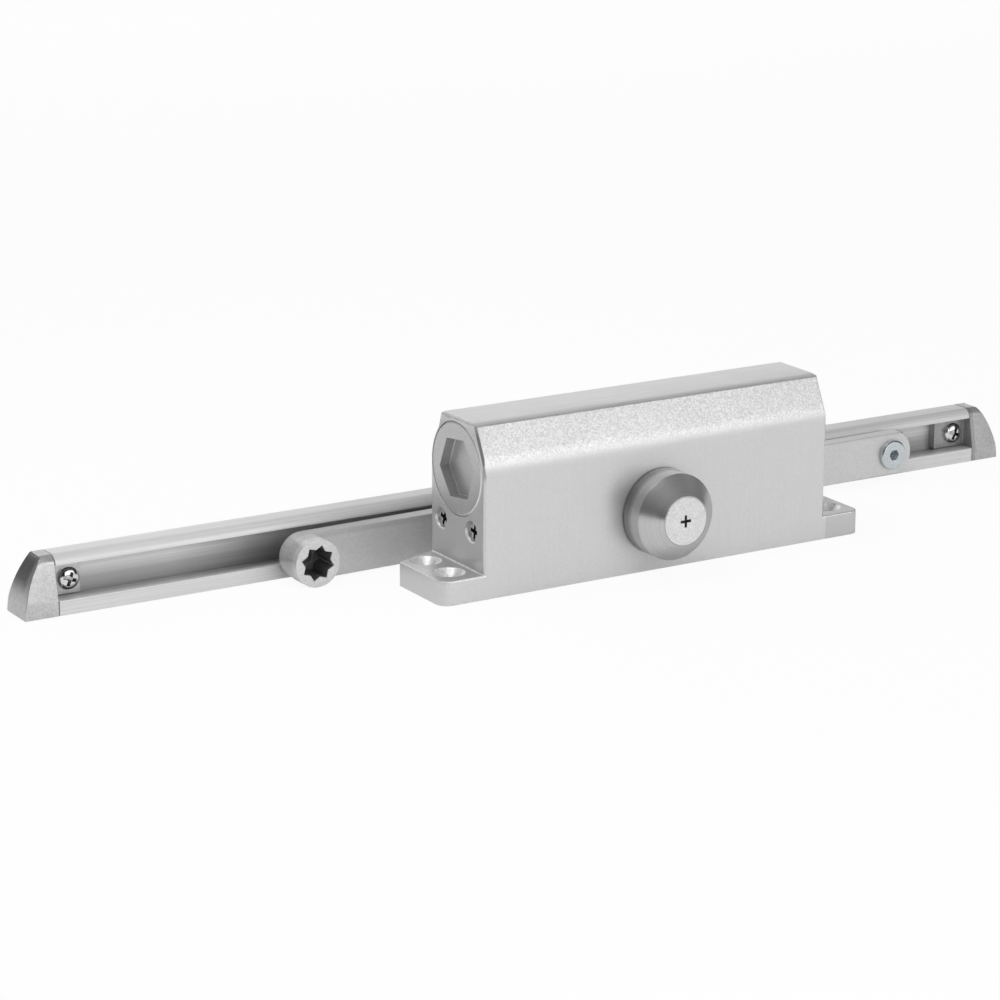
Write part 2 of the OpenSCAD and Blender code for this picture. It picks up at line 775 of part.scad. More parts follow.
// Piston. The teeth of the rack are cut into its underside
module rack_cut() {
    half_space = rack_pitch / 4;
    lean = tan(pressure_angle);
    side_play = backlash / 4;
    low = bore_z - bore_r - over;
    first = ceil((rack_x0 + half_space * 2) / rack_pitch);
    last = floor((rack_x1 - half_space * 2) / rack_pitch);
    along_y(bore_y - bore_r - over, bore_y + bore_r + over) {
        translate([rack_x0, low]) square([rack_x1 - rack_x0, rack_tip_z - low]);
        for (k = [first : last]) translate([k * rack_pitch, 0]) polygon([
            [-half_space - side_play - (rack_z - low) * lean, low],
            [half_space + side_play + (rack_z - low) * lean, low],
            [half_space + side_play - (rack_root_z - rack_z) * lean, rack_root_z],
            [-half_space - side_play + (rack_root_z - rack_z) * lean, rack_root_z],
        ]);
    }
}

retainer_l = 2.5;
ball_room = 0.3;
ball_hole_r = ball_r + 0.4;
ball_hole_l = retainer_l + 2 * ball_r + 2 * ball_room;
module piston() {
    pocket_r = piston_r - pocket_wall;
    color([0.66, 0.66, 0.68]) difference() {
        x_rod(piston_r, piston_x0, piston_x1, bore_y, bore_z);
        rack_cut();
        x_rod(pocket_r, pocket_x, piston_x1 + over, bore_y, bore_z);
        x_rod(ball_hole_r, piston_x0 - over, piston_x0 + ball_hole_l, bore_y, bore_z);
        x_rod(ball_r / 2, piston_x0, rack_x0 + over, bore_y, bore_z);
        translate([rack_x0 - over, bore_y, bore_z]) rotate([0, 45, 0])
            cylinder(r = ball_r / 2, h = bore_r, center = true);
    }
}

module check_ball() {
    color([0.75, 0.75, 0.78])
        translate([piston_x0 + retainer_l + ball_room + ball_r, bore_y, bore_z]) sphere(ball_r);
}

module ball_retainer() {
    color([0.62, 0.62, 0.64]) difference() {
        x_rod(ball_hole_r - seat_gap, piston_x0, piston_x0 + retainer_l, bore_y, bore_z);
        x_rod(ball_r / 2, piston_x0 - over, piston_x0 + retainer_l + over, bore_y, bore_z);
    }
}

// Valve screws. Drawn at the middle, with the slotted head towards -X
valve_ring_depth = 1.1;
module valve_screw() {
    neck_r = valve_r - 1.3;
    groove_x = valve_x0 + valve_head_l;
    needle_x = valve_neck_x + valve_neck_l;
    difference() {
        union() {
            x_rod(valve_r, valve_x0, groove_x);
            x_rod(valve_r - valve_ring_depth, groove_x - over, groove_x + valve_groove_l + over);
            x_rod(valve_r, groove_x + valve_groove_l, valve_neck_x);
            x_rod(neck_r, valve_neck_x - over, needle_x);
            translate([needle_x, 0, 0]) rotate([0, 90, 0])
                cylinder(r1 = oil_way_r - 0.25, r2 = 0.5, h = valve_needle_l);
        }
        along_x(valve_x0 - over, valve_x0 + 2) cross(5.8, 1.4);
    }
}

module valve_seal() {
    ring_r = valve_ring_depth / 2;
    translate([valve_x0 + valve_head_l + valve_groove_l / 2, 0, 0]) rotate([0, 90, 0])
        ring_seal(valve_r - ring_r, ring_r - 0.02);
}

module at_valve(side) {
    translate([0, valve_mid_y + side * valve_y, valve_z]) children();
}

module closing_valve() {
    color([0.70, 0.70, 0.71]) at_valve(1) rotate([20, 0, 0]) valve_screw();
}

module closing_valve_seal() {
    color([0.1, 0.1, 0.1]) at_valve(1) valve_seal();
}

module latching_valve() {
    color([0.70, 0.70, 0.71]) at_valve(-1) rotate([8, 0, 0]) valve_screw();
}

module latching_valve_seal() {
    color([0.1, 0.1, 0.1]) at_valve(-1) valve_seal();
}

// Points of an arc of radius r round [y, z], from angle a0 to a1
function arc(y, z, r, a0, a1) = [
    for (i = [0 : 8]) let (a = a0 + (a1 - a0) * i / 8) [y + r * cos(a), z + r * sin(a)]
];

// Track and its end caps share one section
module track_outline() {
    lean = atan((track_top_y0 - track_y) / (track_h - lip_low_h));
    run = track_edge_r * tan(45 - lean / 2);
    rear_run = track_rear_edge_r * tan(45 - lean / 2);
    polygon(concat(
        [[track_y, 0], [track_rear, 0], [track_rear, lip_low_h]],
        arc(track_top_y1 - rear_run, track_h - track_rear_edge_r, track_rear_edge_r, lean, 90),
        arc(track_top_y0 + run, track_h - track_edge_r, track_edge_r, 90, 180 - lean),
        [[track_y, lip_low_h]]
    ));
}

module track_section() {
    difference() {
        track_outline();
        translate([track_y - over, lip_low_h]) square([channel_d + over, channel_h]);
        translate([groove_y, lip_low_h - groove_side]) square([groove_d, channel_h + 2 * groove_side]);
        for (z = [pivot_z - channel_h / 2 - rear_groove_w / 2, pivot_z + channel_h / 2 - rear_groove_w / 2])
            translate([track_rear - rear_groove_d, z])
                square([rear_groove_d + over, rear_groove_w]);
    }
}

module slide_track() {
    sink = track_hole_r;
    color([0.74, 0.74, 0.73]) difference() {
        along_x(track_x0, track_x1) track_section();
        for (side = [-1, 1]) translate([track_x + side * track_hole_spacing / 2, 0, track_hole_z]) {
            y_rod(track_hole_r, channel_back - over, track_rear + over);
            y_cone(2 * track_hole_r + over, track_hole_r, channel_back - over, channel_back + sink);
        }
        for (x = [track_x0 + cap_screw_in, track_x1 - cap_screw_in])
            y_rod(cap_screw_r + seat_gap, channel_back - over, track_rear + over, x, pivot_z);
    }
}

// End cap. Drawn for the left end, with its joint at x = 0 and its round end towards -X
module end_cap(tongue_l) {
    tongue_h = channel_h - 2 * slider_gap;
    round_x = sqrt(cap_end_r ^ 2 - cap_end_drop ^ 2) - cap_l;
    difference() {
        union() {
            intersection() {
                along_x(-cap_l, -cap_joint) track_outline();
                y_rod(cap_end_r, track_y - over, track_rear + over, round_x, -cap_end_drop);
            }
            translate([-over, tongue_y, pivot_z - tongue_h / 2]) cube([tongue_l + over, tongue_t, tongue_h]);
        }
        y_rod(cap_screw_r + 0.2, tongue_y - over, channel_back + over, cap_screw_in, pivot_z);
    }
}

module cap_screw(x) {
    crown = 0.9;
    color([0.80, 0.82, 0.84]) translate([x, tongue_y, pivot_z]) difference() {
        union() {
            y_rod(cap_head_r, -cap_head_h + crown, 0);
            y_cone(cap_head_r - crown, cap_head_r, -cap_head_h, -cap_head_h + crown);
            y_rod(cap_screw_r, -over, cap_screw_l);
        }
        along_y(-cap_head_h - over, -cap_head_h + 2.2) rotate(20) cross(4.2, 1.1);
    }
}

module left_end_cap() {
    color([0.70, 0.70, 0.70]) translate([track_x0, 0, 0]) end_cap(left_tongue_l);
}

module right_end_cap() {
    color([0.70, 0.70, 0.70]) translate([track_x1, 0, 0]) mirror([1, 0, 0]) end_cap(right_tongue_l);
}

module left_cap_screw() {
    cap_screw(track_x0 + cap_screw_in);
}

module right_cap_screw() {
    cap_screw(track_x1 - cap_screw_in);
}

// Slider: a block with flanges that run in the wide groove of the track
insert_end = channel_back - slider_gap - 2;
module slider_block() {
    neck_h = channel_h - 2 * slider_gap;
    flange_h = neck_h + 2 * groove_side;
    flange_y = groove_y + slider_gap;
    back = channel_back - slider_gap;
    color([0.2, 0.2, 0.2]) difference() {
        union() {
            translate([pivot_x - slider_l / 2, slider_front, pivot_z - neck_h / 2])
                cube([slider_l, back - slider_front, neck_h]);
            translate([pivot_x - slider_l / 2, flange_y, pivot_z - flange_h / 2])
                cube([slider_l, back - flange_y, flange_h]);
        }
        y_rod(insert_r + seat_gap, slider_front - over, insert_end + seat_gap, pivot_x, pivot_z);
    }
}

module slider_insert() {
    color([0.78, 0.62, 0.30]) difference() {
        y_rod(insert_r, slider_front, insert_end, pivot_x, pivot_z);
        y_rod(pivot_thread_r + seat_gap, slider_front - over, insert_end + over, pivot_x, pivot_z);
    }
}

module pivot_screw() {
    head_rear = arm_front - face_gap;
    head_front = head_rear - pivot_head_h;
    crown = 0.5;
    color([0.80, 0.82, 0.84]) difference() {
        union() {
            y_rod(pivot_head_r, head_front + crown, head_rear, pivot_x, pivot_z);
            y_cone(pivot_head_r - crown, pivot_head_r, head_front, head_front + crown, pivot_x, pivot_z);
            y_rod(pivot_r, head_rear - crown, slider_front, pivot_x, pivot_z);
            y_rod(pivot_thread_r, slider_front - over, insert_end - 1, pivot_x, pivot_z);
        }
        along_y(head_front - over, head_front + pivot_hex_l) translate([pivot_x, pivot_z])
            circle(pivot_hex_w / 2 / cos(30), $fn = 6);
    }
}

module pivot_washer() {
    color([0.9, 0.9, 0.88]) difference() {
        y_rod(washer_r, washer_y0, slider_front - face_gap / 2, pivot_x, pivot_z);
        y_rod(pivot_r + 0.1, washer_y0 - over, slider_front + over, pivot_x, pivot_z);
    }
}

// Slide arm: a flat bar and a hub that is pressed into its end.
// Both are drawn level with the pivot at the origin, then hung from the pivot
spigot_r = socket_w / sqrt(2) + spigot_wall;

module hung_from_pivot() {
    translate([pivot_x, 0, pivot_z]) rotate([0, -arm_droop, 0]) children();
}

module arm_outline() {
    hub_end_r = arm_h_hub / 2;
    intersection() {
        polygon([
            [-arm_c - hub_end_r, -hub_end_r],
            [-arm_c, -hub_end_r],
            [0, -arm_h_pivot / 2],
            [arm_end_r, -arm_h_pivot / 2],
            [arm_end_r, arm_h_pivot / 2],
            [0, arm_h_pivot / 2],
            [-arm_c, hub_end_r],
            [-arm_c - hub_end_r, hub_end_r],
        ]);
        union() {
            circle(arm_end_r);
            translate([-arm_c, -arm_h_hub]) square([arm_c, 2 * arm_h_hub]);
            translate([-arm_c, 0]) circle(hub_end_r);
        }
    }
}

module slide_arm() {
    color([0.76, 0.76, 0.76]) hung_from_pivot() difference() {
        along_y(arm_front, arm_rear) arm_outline();
        y_rod(pivot_r + run_gap, arm_front - over, arm_rear + over);
        y_rod(spigot_r + seat_gap, arm_front - over, arm_rear + over, -arm_c);
    }
}

module arm_hub() {
    color([0.74, 0.74, 0.75]) hung_from_pivot() difference() {
        union() {
            y_rod(hub_r, hub_front, arm_front, -arm_c);
            y_rod(spigot_r, arm_front - over, arm_rear, -arm_c);
        }
        y_rod(arm_screw_hole_r, hub_front, arm_rear + over, -arm_c);
        for (turn = [star_turn, star_turn + 45])
            translate([-arm_c, hub_front - over, 0]) rotate([0, turn, 0])
                translate([-socket_w / 2, 0, -socket_w / 2]) cube([socket_w, socket_l + over, socket_w]);
    }
}

housing();
left_end_plug();
right_end_plug();
left_plug_seal();
right_plug_seal();
front_bearing_nut();
rear_bearing_nut();
front_bush();
rear_bush();
front_shaft_seal();
rear_shaft_seal();
outer_spring();
inner_spring();
pinion_spindle();
spindle_cover();
cover_screw();
piston();
check_ball();
ball_retainer();
closing_valve();
closing_valve_seal();
latching_valve();
latching_valve_seal();
slide_track();
left_end_cap();
right_end_cap();
left_cap_screw();
right_cap_screw();
slider_block();
slider_insert();
pivot_screw();
pivot_washer();
slide_arm();
arm_hub();
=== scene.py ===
# %% [markdown]
# # Dressing a slide arm door closer
# The closer is a cast housing with a hydraulic piston inside. A toothed spindle crosses it, and
# behind it lies the slide track, in which the end of the arm runs. The sizes all come from the
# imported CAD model, which loads here as a fixed frame. Blender adds the things that a drawing
# leaves out: softened edges, real screw heads, lacquer, brushed metal and the light of a photo
# studio.

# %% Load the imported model
import json
import math
import bmesh
import bpy
from mathutils import Matrix, Vector


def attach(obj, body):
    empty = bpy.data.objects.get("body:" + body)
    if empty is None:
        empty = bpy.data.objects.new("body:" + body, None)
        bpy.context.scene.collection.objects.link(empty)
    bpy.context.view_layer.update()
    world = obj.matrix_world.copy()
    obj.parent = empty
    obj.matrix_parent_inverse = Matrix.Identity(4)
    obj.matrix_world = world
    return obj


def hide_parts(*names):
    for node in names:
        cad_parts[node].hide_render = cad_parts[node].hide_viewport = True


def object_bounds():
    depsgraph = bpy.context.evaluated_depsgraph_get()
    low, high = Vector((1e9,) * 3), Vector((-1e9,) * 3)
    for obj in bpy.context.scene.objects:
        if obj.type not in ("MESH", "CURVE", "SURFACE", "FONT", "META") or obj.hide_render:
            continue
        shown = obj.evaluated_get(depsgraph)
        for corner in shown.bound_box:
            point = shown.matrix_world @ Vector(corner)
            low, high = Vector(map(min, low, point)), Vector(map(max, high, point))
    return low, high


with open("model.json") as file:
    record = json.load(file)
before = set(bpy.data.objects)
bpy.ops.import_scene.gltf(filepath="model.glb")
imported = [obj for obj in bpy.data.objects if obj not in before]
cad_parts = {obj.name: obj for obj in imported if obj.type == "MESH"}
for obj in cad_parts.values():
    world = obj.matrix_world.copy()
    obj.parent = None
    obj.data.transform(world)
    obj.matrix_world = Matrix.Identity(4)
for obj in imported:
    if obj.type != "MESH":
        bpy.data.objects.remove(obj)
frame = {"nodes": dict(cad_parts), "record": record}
nodes = frame["nodes"]
body_of = {n: body for body, names in frame["record"]["behaviour"]["bodies"].items() for n in names}


def as_lists(box):
    """A box as plain lists of numbers, rounded to six places."""
    return [[round(float(v), 6) for v in corner] for corner in box]


cad_box = as_lists(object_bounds())

# %% [markdown]
# ## The camera
# A long lens from well back keeps parallel edges nearly parallel, as product photographs do.
# The place and the angles were worked out from the corners of the housing and the track in the
# photograph. Blender's "track to" helpers would give the aim but not the small roll, so the
# camera's own axes are written out: right, up, and backwards. The Standard view transform shows
# colours as they are written, where the default one would dull the whites.

# %% Place the camera
mm = 0.001
SENSOR = 36  # the width of the sensor and of the frame: 36 mm and 1000 pixels
FRAME_PIXELS = 1000
FOCAL_PIXELS = 3345
CAMERA_PLACE = (-666.21, -1002.44, 362.71)  # in millimetres
yaw, pitch, roll = math.radians(31.27), math.radians(15.83), math.radians(0.14)
forward = Vector((math.sin(yaw) * math.cos(pitch), math.cos(yaw) * math.cos(pitch), -math.sin(pitch)))
level_right = Vector((math.cos(yaw), -math.sin(yaw), 0))
level_up = level_right.cross(forward)
right = math.cos(roll) * level_right + math.sin(roll) * level_up
up = math.cos(roll) * level_up - math.sin(roll) * level_right

camera_data = bpy.data.cameras.new("camera")
camera_data.sensor_fit = "HORIZONTAL"
camera_data.sensor_width = SENSOR
camera_data.lens = SENSOR * FOCAL_PIXELS / FRAME_PIXELS
camera = bpy.data.objects.new("camera", camera_data)
axes = Matrix((right, up, -forward)).transposed().to_4x4()
camera.matrix_world = Matrix.Translation([value * mm for value in CAMERA_PLACE]) @ axes
bpy.context.scene.collection.objects.link(camera)
bpy.context.scene.camera = camera
bpy.context.scene.view_settings.view_transform = "Standard"
print("lens", round(camera_data.lens, 1), "mm, looking along", [round(v, 3) for v in forward])

# %% [markdown]
# ## Patterns that several finishes share
# Lacquer, brushed metal and turned metal differ from plain grey in small, regular ways. Each
# such pattern is a shader node group with named inputs, so that a finish can use it with its own
# sizes. They read the Object coordinates of the piece, in metres: image textures would need
# unwrapping, and would not follow when a size in the CAD changes.

# %% Helpers for node groups
VECTOR, FLOAT = "NodeSocketVector", "NodeSocketFloat"
NOISE_ROUGHNESS = 0.55


def new_group(name, inputs, output):
    """An empty shader node group with its sockets, and its input and output nodes."""
    tree = bpy.data.node_groups.new(name, "ShaderNodeTree")
    for label, kind, value in inputs:
        item = tree.interface.new_socket(name=label, in_out="INPUT", socket_type=kind)
        if value is not None:
            item.default_value = value
    tree.interface.new_socket(name=output, in_out="OUTPUT", socket_type=FLOAT)
    return tree, tree.nodes.new("NodeGroupInput"), tree.nodes.new("NodeGroupOutput")


def feed(tree, target, value):
    """Links value to an input where it is a socket, and else writes it there as a number."""
    if isinstance(value, bpy.types.NodeSocket):
        tree.links.new(value, target)
    else:
        target.default_value = value


def use_group(tree, group, inputs):
    """A node group placed in a tree, with a socket or a number for each input that is named."""
    node = tree.nodes.new("ShaderNodeGroup")
    node.node_tree = group
    for label, value in inputs.items():
        feed(tree, node.inputs[label], value)
    return node


def math_node(tree, operation, *values):
    """A Math node whose inputs are numbers or sockets, and its result."""
    node = tree.nodes.new("ShaderNodeMath")
    node.operation = operation
    for target, value in zip(node.inputs, values):
        feed(tree, target, value)
    return node.outputs[0]


def dot_product(tree, first, second):
    """The dot product of two vectors, each a socket or three numbers."""
    node = tree.nodes.new("ShaderNodeVectorMath")
    node.operation = "DOT_PRODUCT"
    feed(tree, node.inputs[0], first)
    feed(tree, node.inputs[1], second)
    return node.outputs["Value"]


def noise(tree, vector, scale, detail=2.0):
    """A three-dimensional Noise Texture, and its Fac output."""
    node = tree.nodes.new("ShaderNodeTexNoise")
    feed(tree, node.inputs["Vector"], vector)
    feed(tree, node.inputs["Scale"], scale)
    node.inputs["Detail"].default_value = detail
    node.inputs["Roughness"].default_value = NOISE_ROUGHNESS
    return node.outputs[0]


def spread(tree, value, low=0.3, high=0.7):
    """Stretches the range from low to high, as a rule the middle of a noise, to that from 0 to 1."""
    node = tree.nodes.new("ShaderNodeMapRange")
    feed(tree, node.inputs["Value"], value)
    node.inputs["From Min"].default_value = low
    node.inputs["From Max"].default_value = high
    return node.outputs[0]


print("helpers ready")

# %% [markdown]
# Silver lacquer has fine metal flakes in it. Seen close, flakes that lie at a good angle are
# bright and their neighbours are dull. A Voronoi cell for each flake gives that, and a noise of
# the same size is mixed in, because real flakes overlap and have no clear borders.

# %% The lacquer flake group
flake, flake_in, flake_out = new_group(
    "lacquer_flakes", [("Vector", VECTOR, None), ("Flakes per Metre", FLOAT, 1800.0)], "Flakes"
)
CELL_SHARE, CLOUD_SHARE = 0.45, 0.55
cells = flake.nodes.new("ShaderNodeTexVoronoi")
feed(flake, cells.inputs["Vector"], flake_in.outputs["Vector"])
feed(flake, cells.inputs["Scale"], flake_in.outputs["Flakes per Metre"])
split = flake.nodes.new("ShaderNodeSeparateColor")
feed(flake, split.inputs[0], cells.outputs["Color"])
cloud = noise(flake, flake_in.outputs["Vector"], flake_in.outputs["Flakes per Metre"], 3.0)
cloud = math_node(flake, "MULTIPLY", cloud, CLOUD_SHARE)
mixed = math_node(flake, "MULTIPLY_ADD", split.outputs[0], CELL_SHARE, cloud)
feed(flake, flake_out.inputs["Flakes"], spread(flake, mixed, 0.25, 0.75))
print("group", flake.name)

# %% [markdown]
# Drawn and brushed metal has long hair lines. A noise that is squeezed in two directions and
# left long in the third gives lines of that kind. The stretch is an input, because the track is
# drawn along its whole length and the top of the housing is only brushed.

# %% The long grain group
grain, grain_in, grain_out = new_group(
    "long_grain", [("Vector", VECTOR, None), ("Along", FLOAT, 12.0), ("Across", FLOAT, 2200.0)], "Lines"
)
parts = grain.nodes.new("ShaderNodeSeparateXYZ")
feed(grain, parts.inputs[0], grain_in.outputs["Vector"])
squeezed = grain.nodes.new("ShaderNodeCombineXYZ")
for i, stretch in enumerate(("Along", "Across", "Across")):
    scaled = math_node(grain, "MULTIPLY", parts.outputs[i], grain_in.outputs[stretch])
    feed(grain, squeezed.inputs[i], scaled)
feed(grain, grain_out.inputs["Lines"], spread(grain, noise(grain, squeezed.outputs[0], 1.0)))
print("group", grain.name)

# %% [markdown]
# A lathe leaves rings round its axis. The distance from the axis, and the place along it, go
# into a noise, so every ring is even all the way round. The axis runs along Y here, and its
# place is an input, which starts as the axis of the spindle.

# %% The turning ring group
rings, rings_in, rings_out = new_group(
    "turning_rings",
    [
        ("Vector", VECTOR, None),
        ("Axis X", FLOAT, 0.0),
        ("Axis Z", FLOAT, 0.0225),
        ("Rings per Metre", FLOAT, 3000.0),
    ],
    "Rings",
)
parts = rings.nodes.new("ShaderNodeSeparateXYZ")
feed(rings, parts.inputs[0], rings_in.outputs["Vector"])
dx = math_node(rings, "SUBTRACT", parts.outputs[0], rings_in.outputs["Axis X"])
dz = math_node(rings, "SUBTRACT", parts.outputs[2], rings_in.outputs["Axis Z"])
squares = math_node(rings, "ADD", math_node(rings, "POWER", dx, 2.0), math_node(rings, "POWER", dz, 2.0))
place = rings.nodes.new("ShaderNodeCombineXYZ")
feed(rings, place.inputs[0], math_node(rings, "SQRT", squares))
feed(rings, place.inputs[1], parts.outputs[1])
ringed = noise(rings, place.outputs[0], rings_in.outputs["Rings per Metre"], 3.0)
feed(rings, rings_out.inputs["Rings"], spread(rings, ringed))
print("group", rings.name)

# %% [markdown]
# Nothing that has been handled is equally clean all over. A broad, faint noise changes the
# gloss a little from place to place. It is used in every finish.

# %% The handling group
handling, handling_in, handling_out = new_group(
    "handling", [("Vector", VECTOR, None), ("Patches per Metre", FLOAT, 45.0)], "Patches"
)
patches = noise(handling, handling_in.outputs["Vector"], handling_in.outputs["Patches per Metre"], 4.0)
feed(handling, handling_out.inputs["Patches"], spread(handling, patches))
print("group", handling.name)

# %% [markdown]
# Some finishes get painted shade or a painted highlight at a known place: the track's channel and
# the walls of a socket are darkened by painted shade. A box gives such a place, with a soft border,
# and it moves with the CAD because its corners are inputs.

# %% The zone group
zone, zone_in, zone_out = new_group(
    "zone", [(label, VECTOR, None) for label in ("Vector", "Low", "High", "Border")], "Inside"
)
spot, low, high, border = (zone.nodes.new("ShaderNodeSeparateXYZ") for i in range(4))
for label, node in (("Vector", spot), ("Low", low), ("High", high), ("Border", border)):
    feed(zone, node.inputs[0], zone_in.outputs[label])
inside = 1.0
for i in range(3):
    above = math_node(zone, "SUBTRACT", spot.outputs[i], low.outputs[i])
    under = math_node(zone, "SUBTRACT", high.outputs[i], spot.outputs[i])
    nearest = math_node(zone, "DIVIDE", math_node(zone, "MINIMUM", above, under), border.outputs[i])
    inside = math_node(zone, "MINIMUM", inside, nearest)
feed(zone, zone_out.inputs["Inside"], math_node(zone, "MAXIMUM", inside, 0.0))
print("group", zone.name)

# %% [markdown]
# A rounded edge turns from one face to the next, so its normal leans away from both. The lean
# from a chosen axis tells such a rim from the flat faces, and a painted highlight or painted shade
# can be laid there.

# %% The rim group
rim, rim_in, rim_out = new_group("rim", [("Normal", VECTOR, None), ("Axis", VECTOR, None)], "Rim")
lean = dot_product(rim, rim_in.outputs["Normal"], rim_in.outputs["Axis"])
lean = math_node(rim, "ABSOLUTE", lean)
off_one, off_other = spread(rim, lean, 0.15, 0.35), spread(rim, lean, 0.99, 0.92)
feed(rim, rim_out.inputs["Rim"], math_node(rim, "MULTIPLY", off_one, off_other))
print("group", rim.name)

# %% [markdown]
# The coat on the housing isn't the same on all sides. The slanted face is speckled, the front is
# smooth with faint upright streaks, and the flat top keeps the fine lines of its milling. The
# object's own normal says which face a point is on.

# %% The housing's coat group
coat, coat_in, coat_out = new_group(
    "housing_coat", [("Vector", VECTOR, None), ("Normal", VECTOR, None)], "Marks"
)
FLAKES_IN_FRONT, STREAKS_IN_FRONT, FRONT_TONE = 0.14, 0.06, 0.40
LINES_ON_TOP, TOP_TONE = 0.45, 0.27
facing = coat.nodes.new("ShaderNodeSeparateXYZ")
feed(coat, facing.inputs[0], coat_in.outputs["Normal"])
on_top = spread(coat, facing.outputs[2], 0.80, 0.95)
on_slant = math_node(coat, "SUBTRACT", spread(coat, facing.outputs[2], 0.16, 0.34), on_top)
on_front = math_node(coat, "SUBTRACT", 1.0, math_node(coat, "ADD", on_top, on_slant))
place = coat.nodes.new("ShaderNodeSeparateXYZ")
feed(coat, place.inputs[0], coat_in.outputs["Vector"])
upright = coat.nodes.new("ShaderNodeCombineXYZ")
for i, source in enumerate((2, 0, 1)):
    feed(coat, upright.inputs[i], place.outputs[source])
speckle = use_group(coat, flake, {"Vector": coat_in.outputs["Vector"]}).outputs["Flakes"]
milled = use_group(coat, grain, {"Vector": coat_in.outputs["Vector"], "Along": 40.0}).outputs["Lines"]
streaks = use_group(coat, grain, {"Vector": upright.outputs[0], "Along": 30.0, "Across": 900.0})
smooth = math_node(coat, "MULTIPLY_ADD", streaks.outputs["Lines"], STREAKS_IN_FRONT, FRONT_TONE)
smooth = math_node(coat, "MULTIPLY_ADD", speckle, FLAKES_IN_FRONT, smooth)
milled = math_node(coat, "MULTIPLY_ADD", milled, LINES_ON_TOP, TOP_TONE)
marks = math_node(coat, "MULTIPLY", on_slant, speckle)
marks = math_node(coat, "MULTIPLY_ADD", on_top, milled, marks)
marks = math_node(coat, "MULTIPLY_ADD", on_front, smooth, marks)
feed(coat, coat_out.inputs["Marks"], marks)
print("group", coat.name)

# %% [markdown]
# ## The recipe for a finish
# Every finish is the same small recipe: a dark and a light colour mixed by a pattern, zones where
# the colour is changed, a roughness that wanders between two values, and a bump from the pattern.
# Metallic, coat and specular stay plain numbers on the shader, so that the exported model keeps
# them.

# %% Make a finish
PATCH_SHARE, PATTERN_SHARE = 0.6, 0.4
finishes = {}


def finish(name, dark, light, metallic, rough, pattern, bump=0.01, values=None, anisotropic=0.0, zones=()):
    """A procedural material, kept in finishes by its name.

    Dark and light are grey or RGB, rough is (low, high) and bump is in millimetres. The first output
    of the pattern group mixes the colours.
    """
    material = bpy.data.materials.new(name)
    material.use_nodes = True
    tree = material.node_tree
    shader = tree.nodes["Principled BSDF"]
    shader.inputs["Metallic"].default_value = metallic
    shader.inputs["Anisotropic"].default_value = anisotropic
    coordinates = tree.nodes.new("ShaderNodeTexCoord")
    place, normal = coordinates.outputs["Object"], coordinates.outputs["Normal"]
    marks = use_group(tree, pattern, {"Vector": place, **(values or {})})
    if "Normal" in marks.inputs:
        feed(tree, marks.inputs["Normal"], normal)
    amount = marks.outputs[0]
    colour = tree.nodes.new("ShaderNodeMix")
    colour.data_type = "RGBA"
    for socket, shade in ((colour.inputs[6], dark), (colour.inputs[7], light)):
        socket.default_value = (*(shade if isinstance(shade, tuple) else (shade,) * 3), 1)
    feed(tree, colour.inputs["Factor"], amount)
    shade = colour.outputs[2]
    for factor, low, high, border, axis in zones:
        area = use_group(tree, zone, {"Vector": place, "Low": low, "High": high, "Border": border})
        inside = area.outputs["Inside"]
        if axis:
            edge = use_group(tree, rim, {"Normal": normal, "Axis": axis})
            inside = math_node(tree, "MULTIPLY", inside, edge.outputs["Rim"])
        scaled = tree.nodes.new("ShaderNodeVectorMath")
        scaled.operation = "SCALE"
        feed(tree, scaled.inputs[0], shade)
        feed(tree, scaled.inputs["Scale"], math_node(tree, "MULTIPLY_ADD", inside, factor - 1, 1.0))
        shade = scaled.outputs[0]
    feed(tree, shader.inputs["Base Color"], shade)
    touched = use_group(tree, handling, {"Vector": place}).outputs["Patches"]
    touched = math_node(tree, "MULTIPLY", touched, PATCH_SHARE)
    wander = math_node(tree, "ADD", touched, math_node(tree, "MULTIPLY", amount, PATTERN_SHARE))
    wander = math_node(tree, "MULTIPLY_ADD", wander, rough[1] - rough[0], rough[0])
    feed(tree, shader.inputs["Roughness"], wander)
    relief = tree.nodes.new("ShaderNodeBump")
    relief.inputs["Strength"].default_value = 1.0
    relief.inputs["Distance"].default_value = bump * mm
    feed(tree, relief.inputs["Height"], amount)
    feed(tree, shader.inputs["Normal"], relief.outputs["Normal"])
    finishes[name] = material


print("recipe ready")

# %% [markdown]
# A zone is written with its factor first and then the range of each direction in which it ends.
# Where a zone follows an edge or a recess, its range starts from a corner that is measured on the
# CAD node, so it moves along when that piece moves.

# %% Helpers for zones
FAR = 1000
X_AXIS, Z_AXIS = (1, 0, 0), (0, 0, 1)
thin = (0.1, 0.1, 0.1)


def span(name):
    """The low and high corner of a CAD node, in millimetres."""
    points = [nodes[name].matrix_world @ v.co / mm for v in nodes[name].data.vertices]
    return [min(p[i] for p in points) for i in range(3)], [max(p[i] for p in points) for i in range(3)]


def middle_of(name):
    """The middle of the box round a CAD node, in millimetres."""
    return [(a + b) / 2 for a, b in zip(*span(name))]


def tint(factor, x=(-FAR, FAR), y=(-FAR, FAR), z=(-FAR, FAR), border=thin, axis=None):
    """A zone for a finish: a box in millimetres in which the colour is multiplied by factor.

    It fades out over the border, and with an axis it takes only what leans away from that axis.
    """
    low, high, border = ([value * mm for value in corner] for corner in (*zip(x, y, z), border))
    return factor, low, high, border, axis


body_rear, body_top = span("housing")[1][1:]
end_x = span("left_end_plug")[0][0]
print("housing: left end at", round(end_x, 2), "top at", round(body_top, 2), "rear at", round(body_rear, 2))
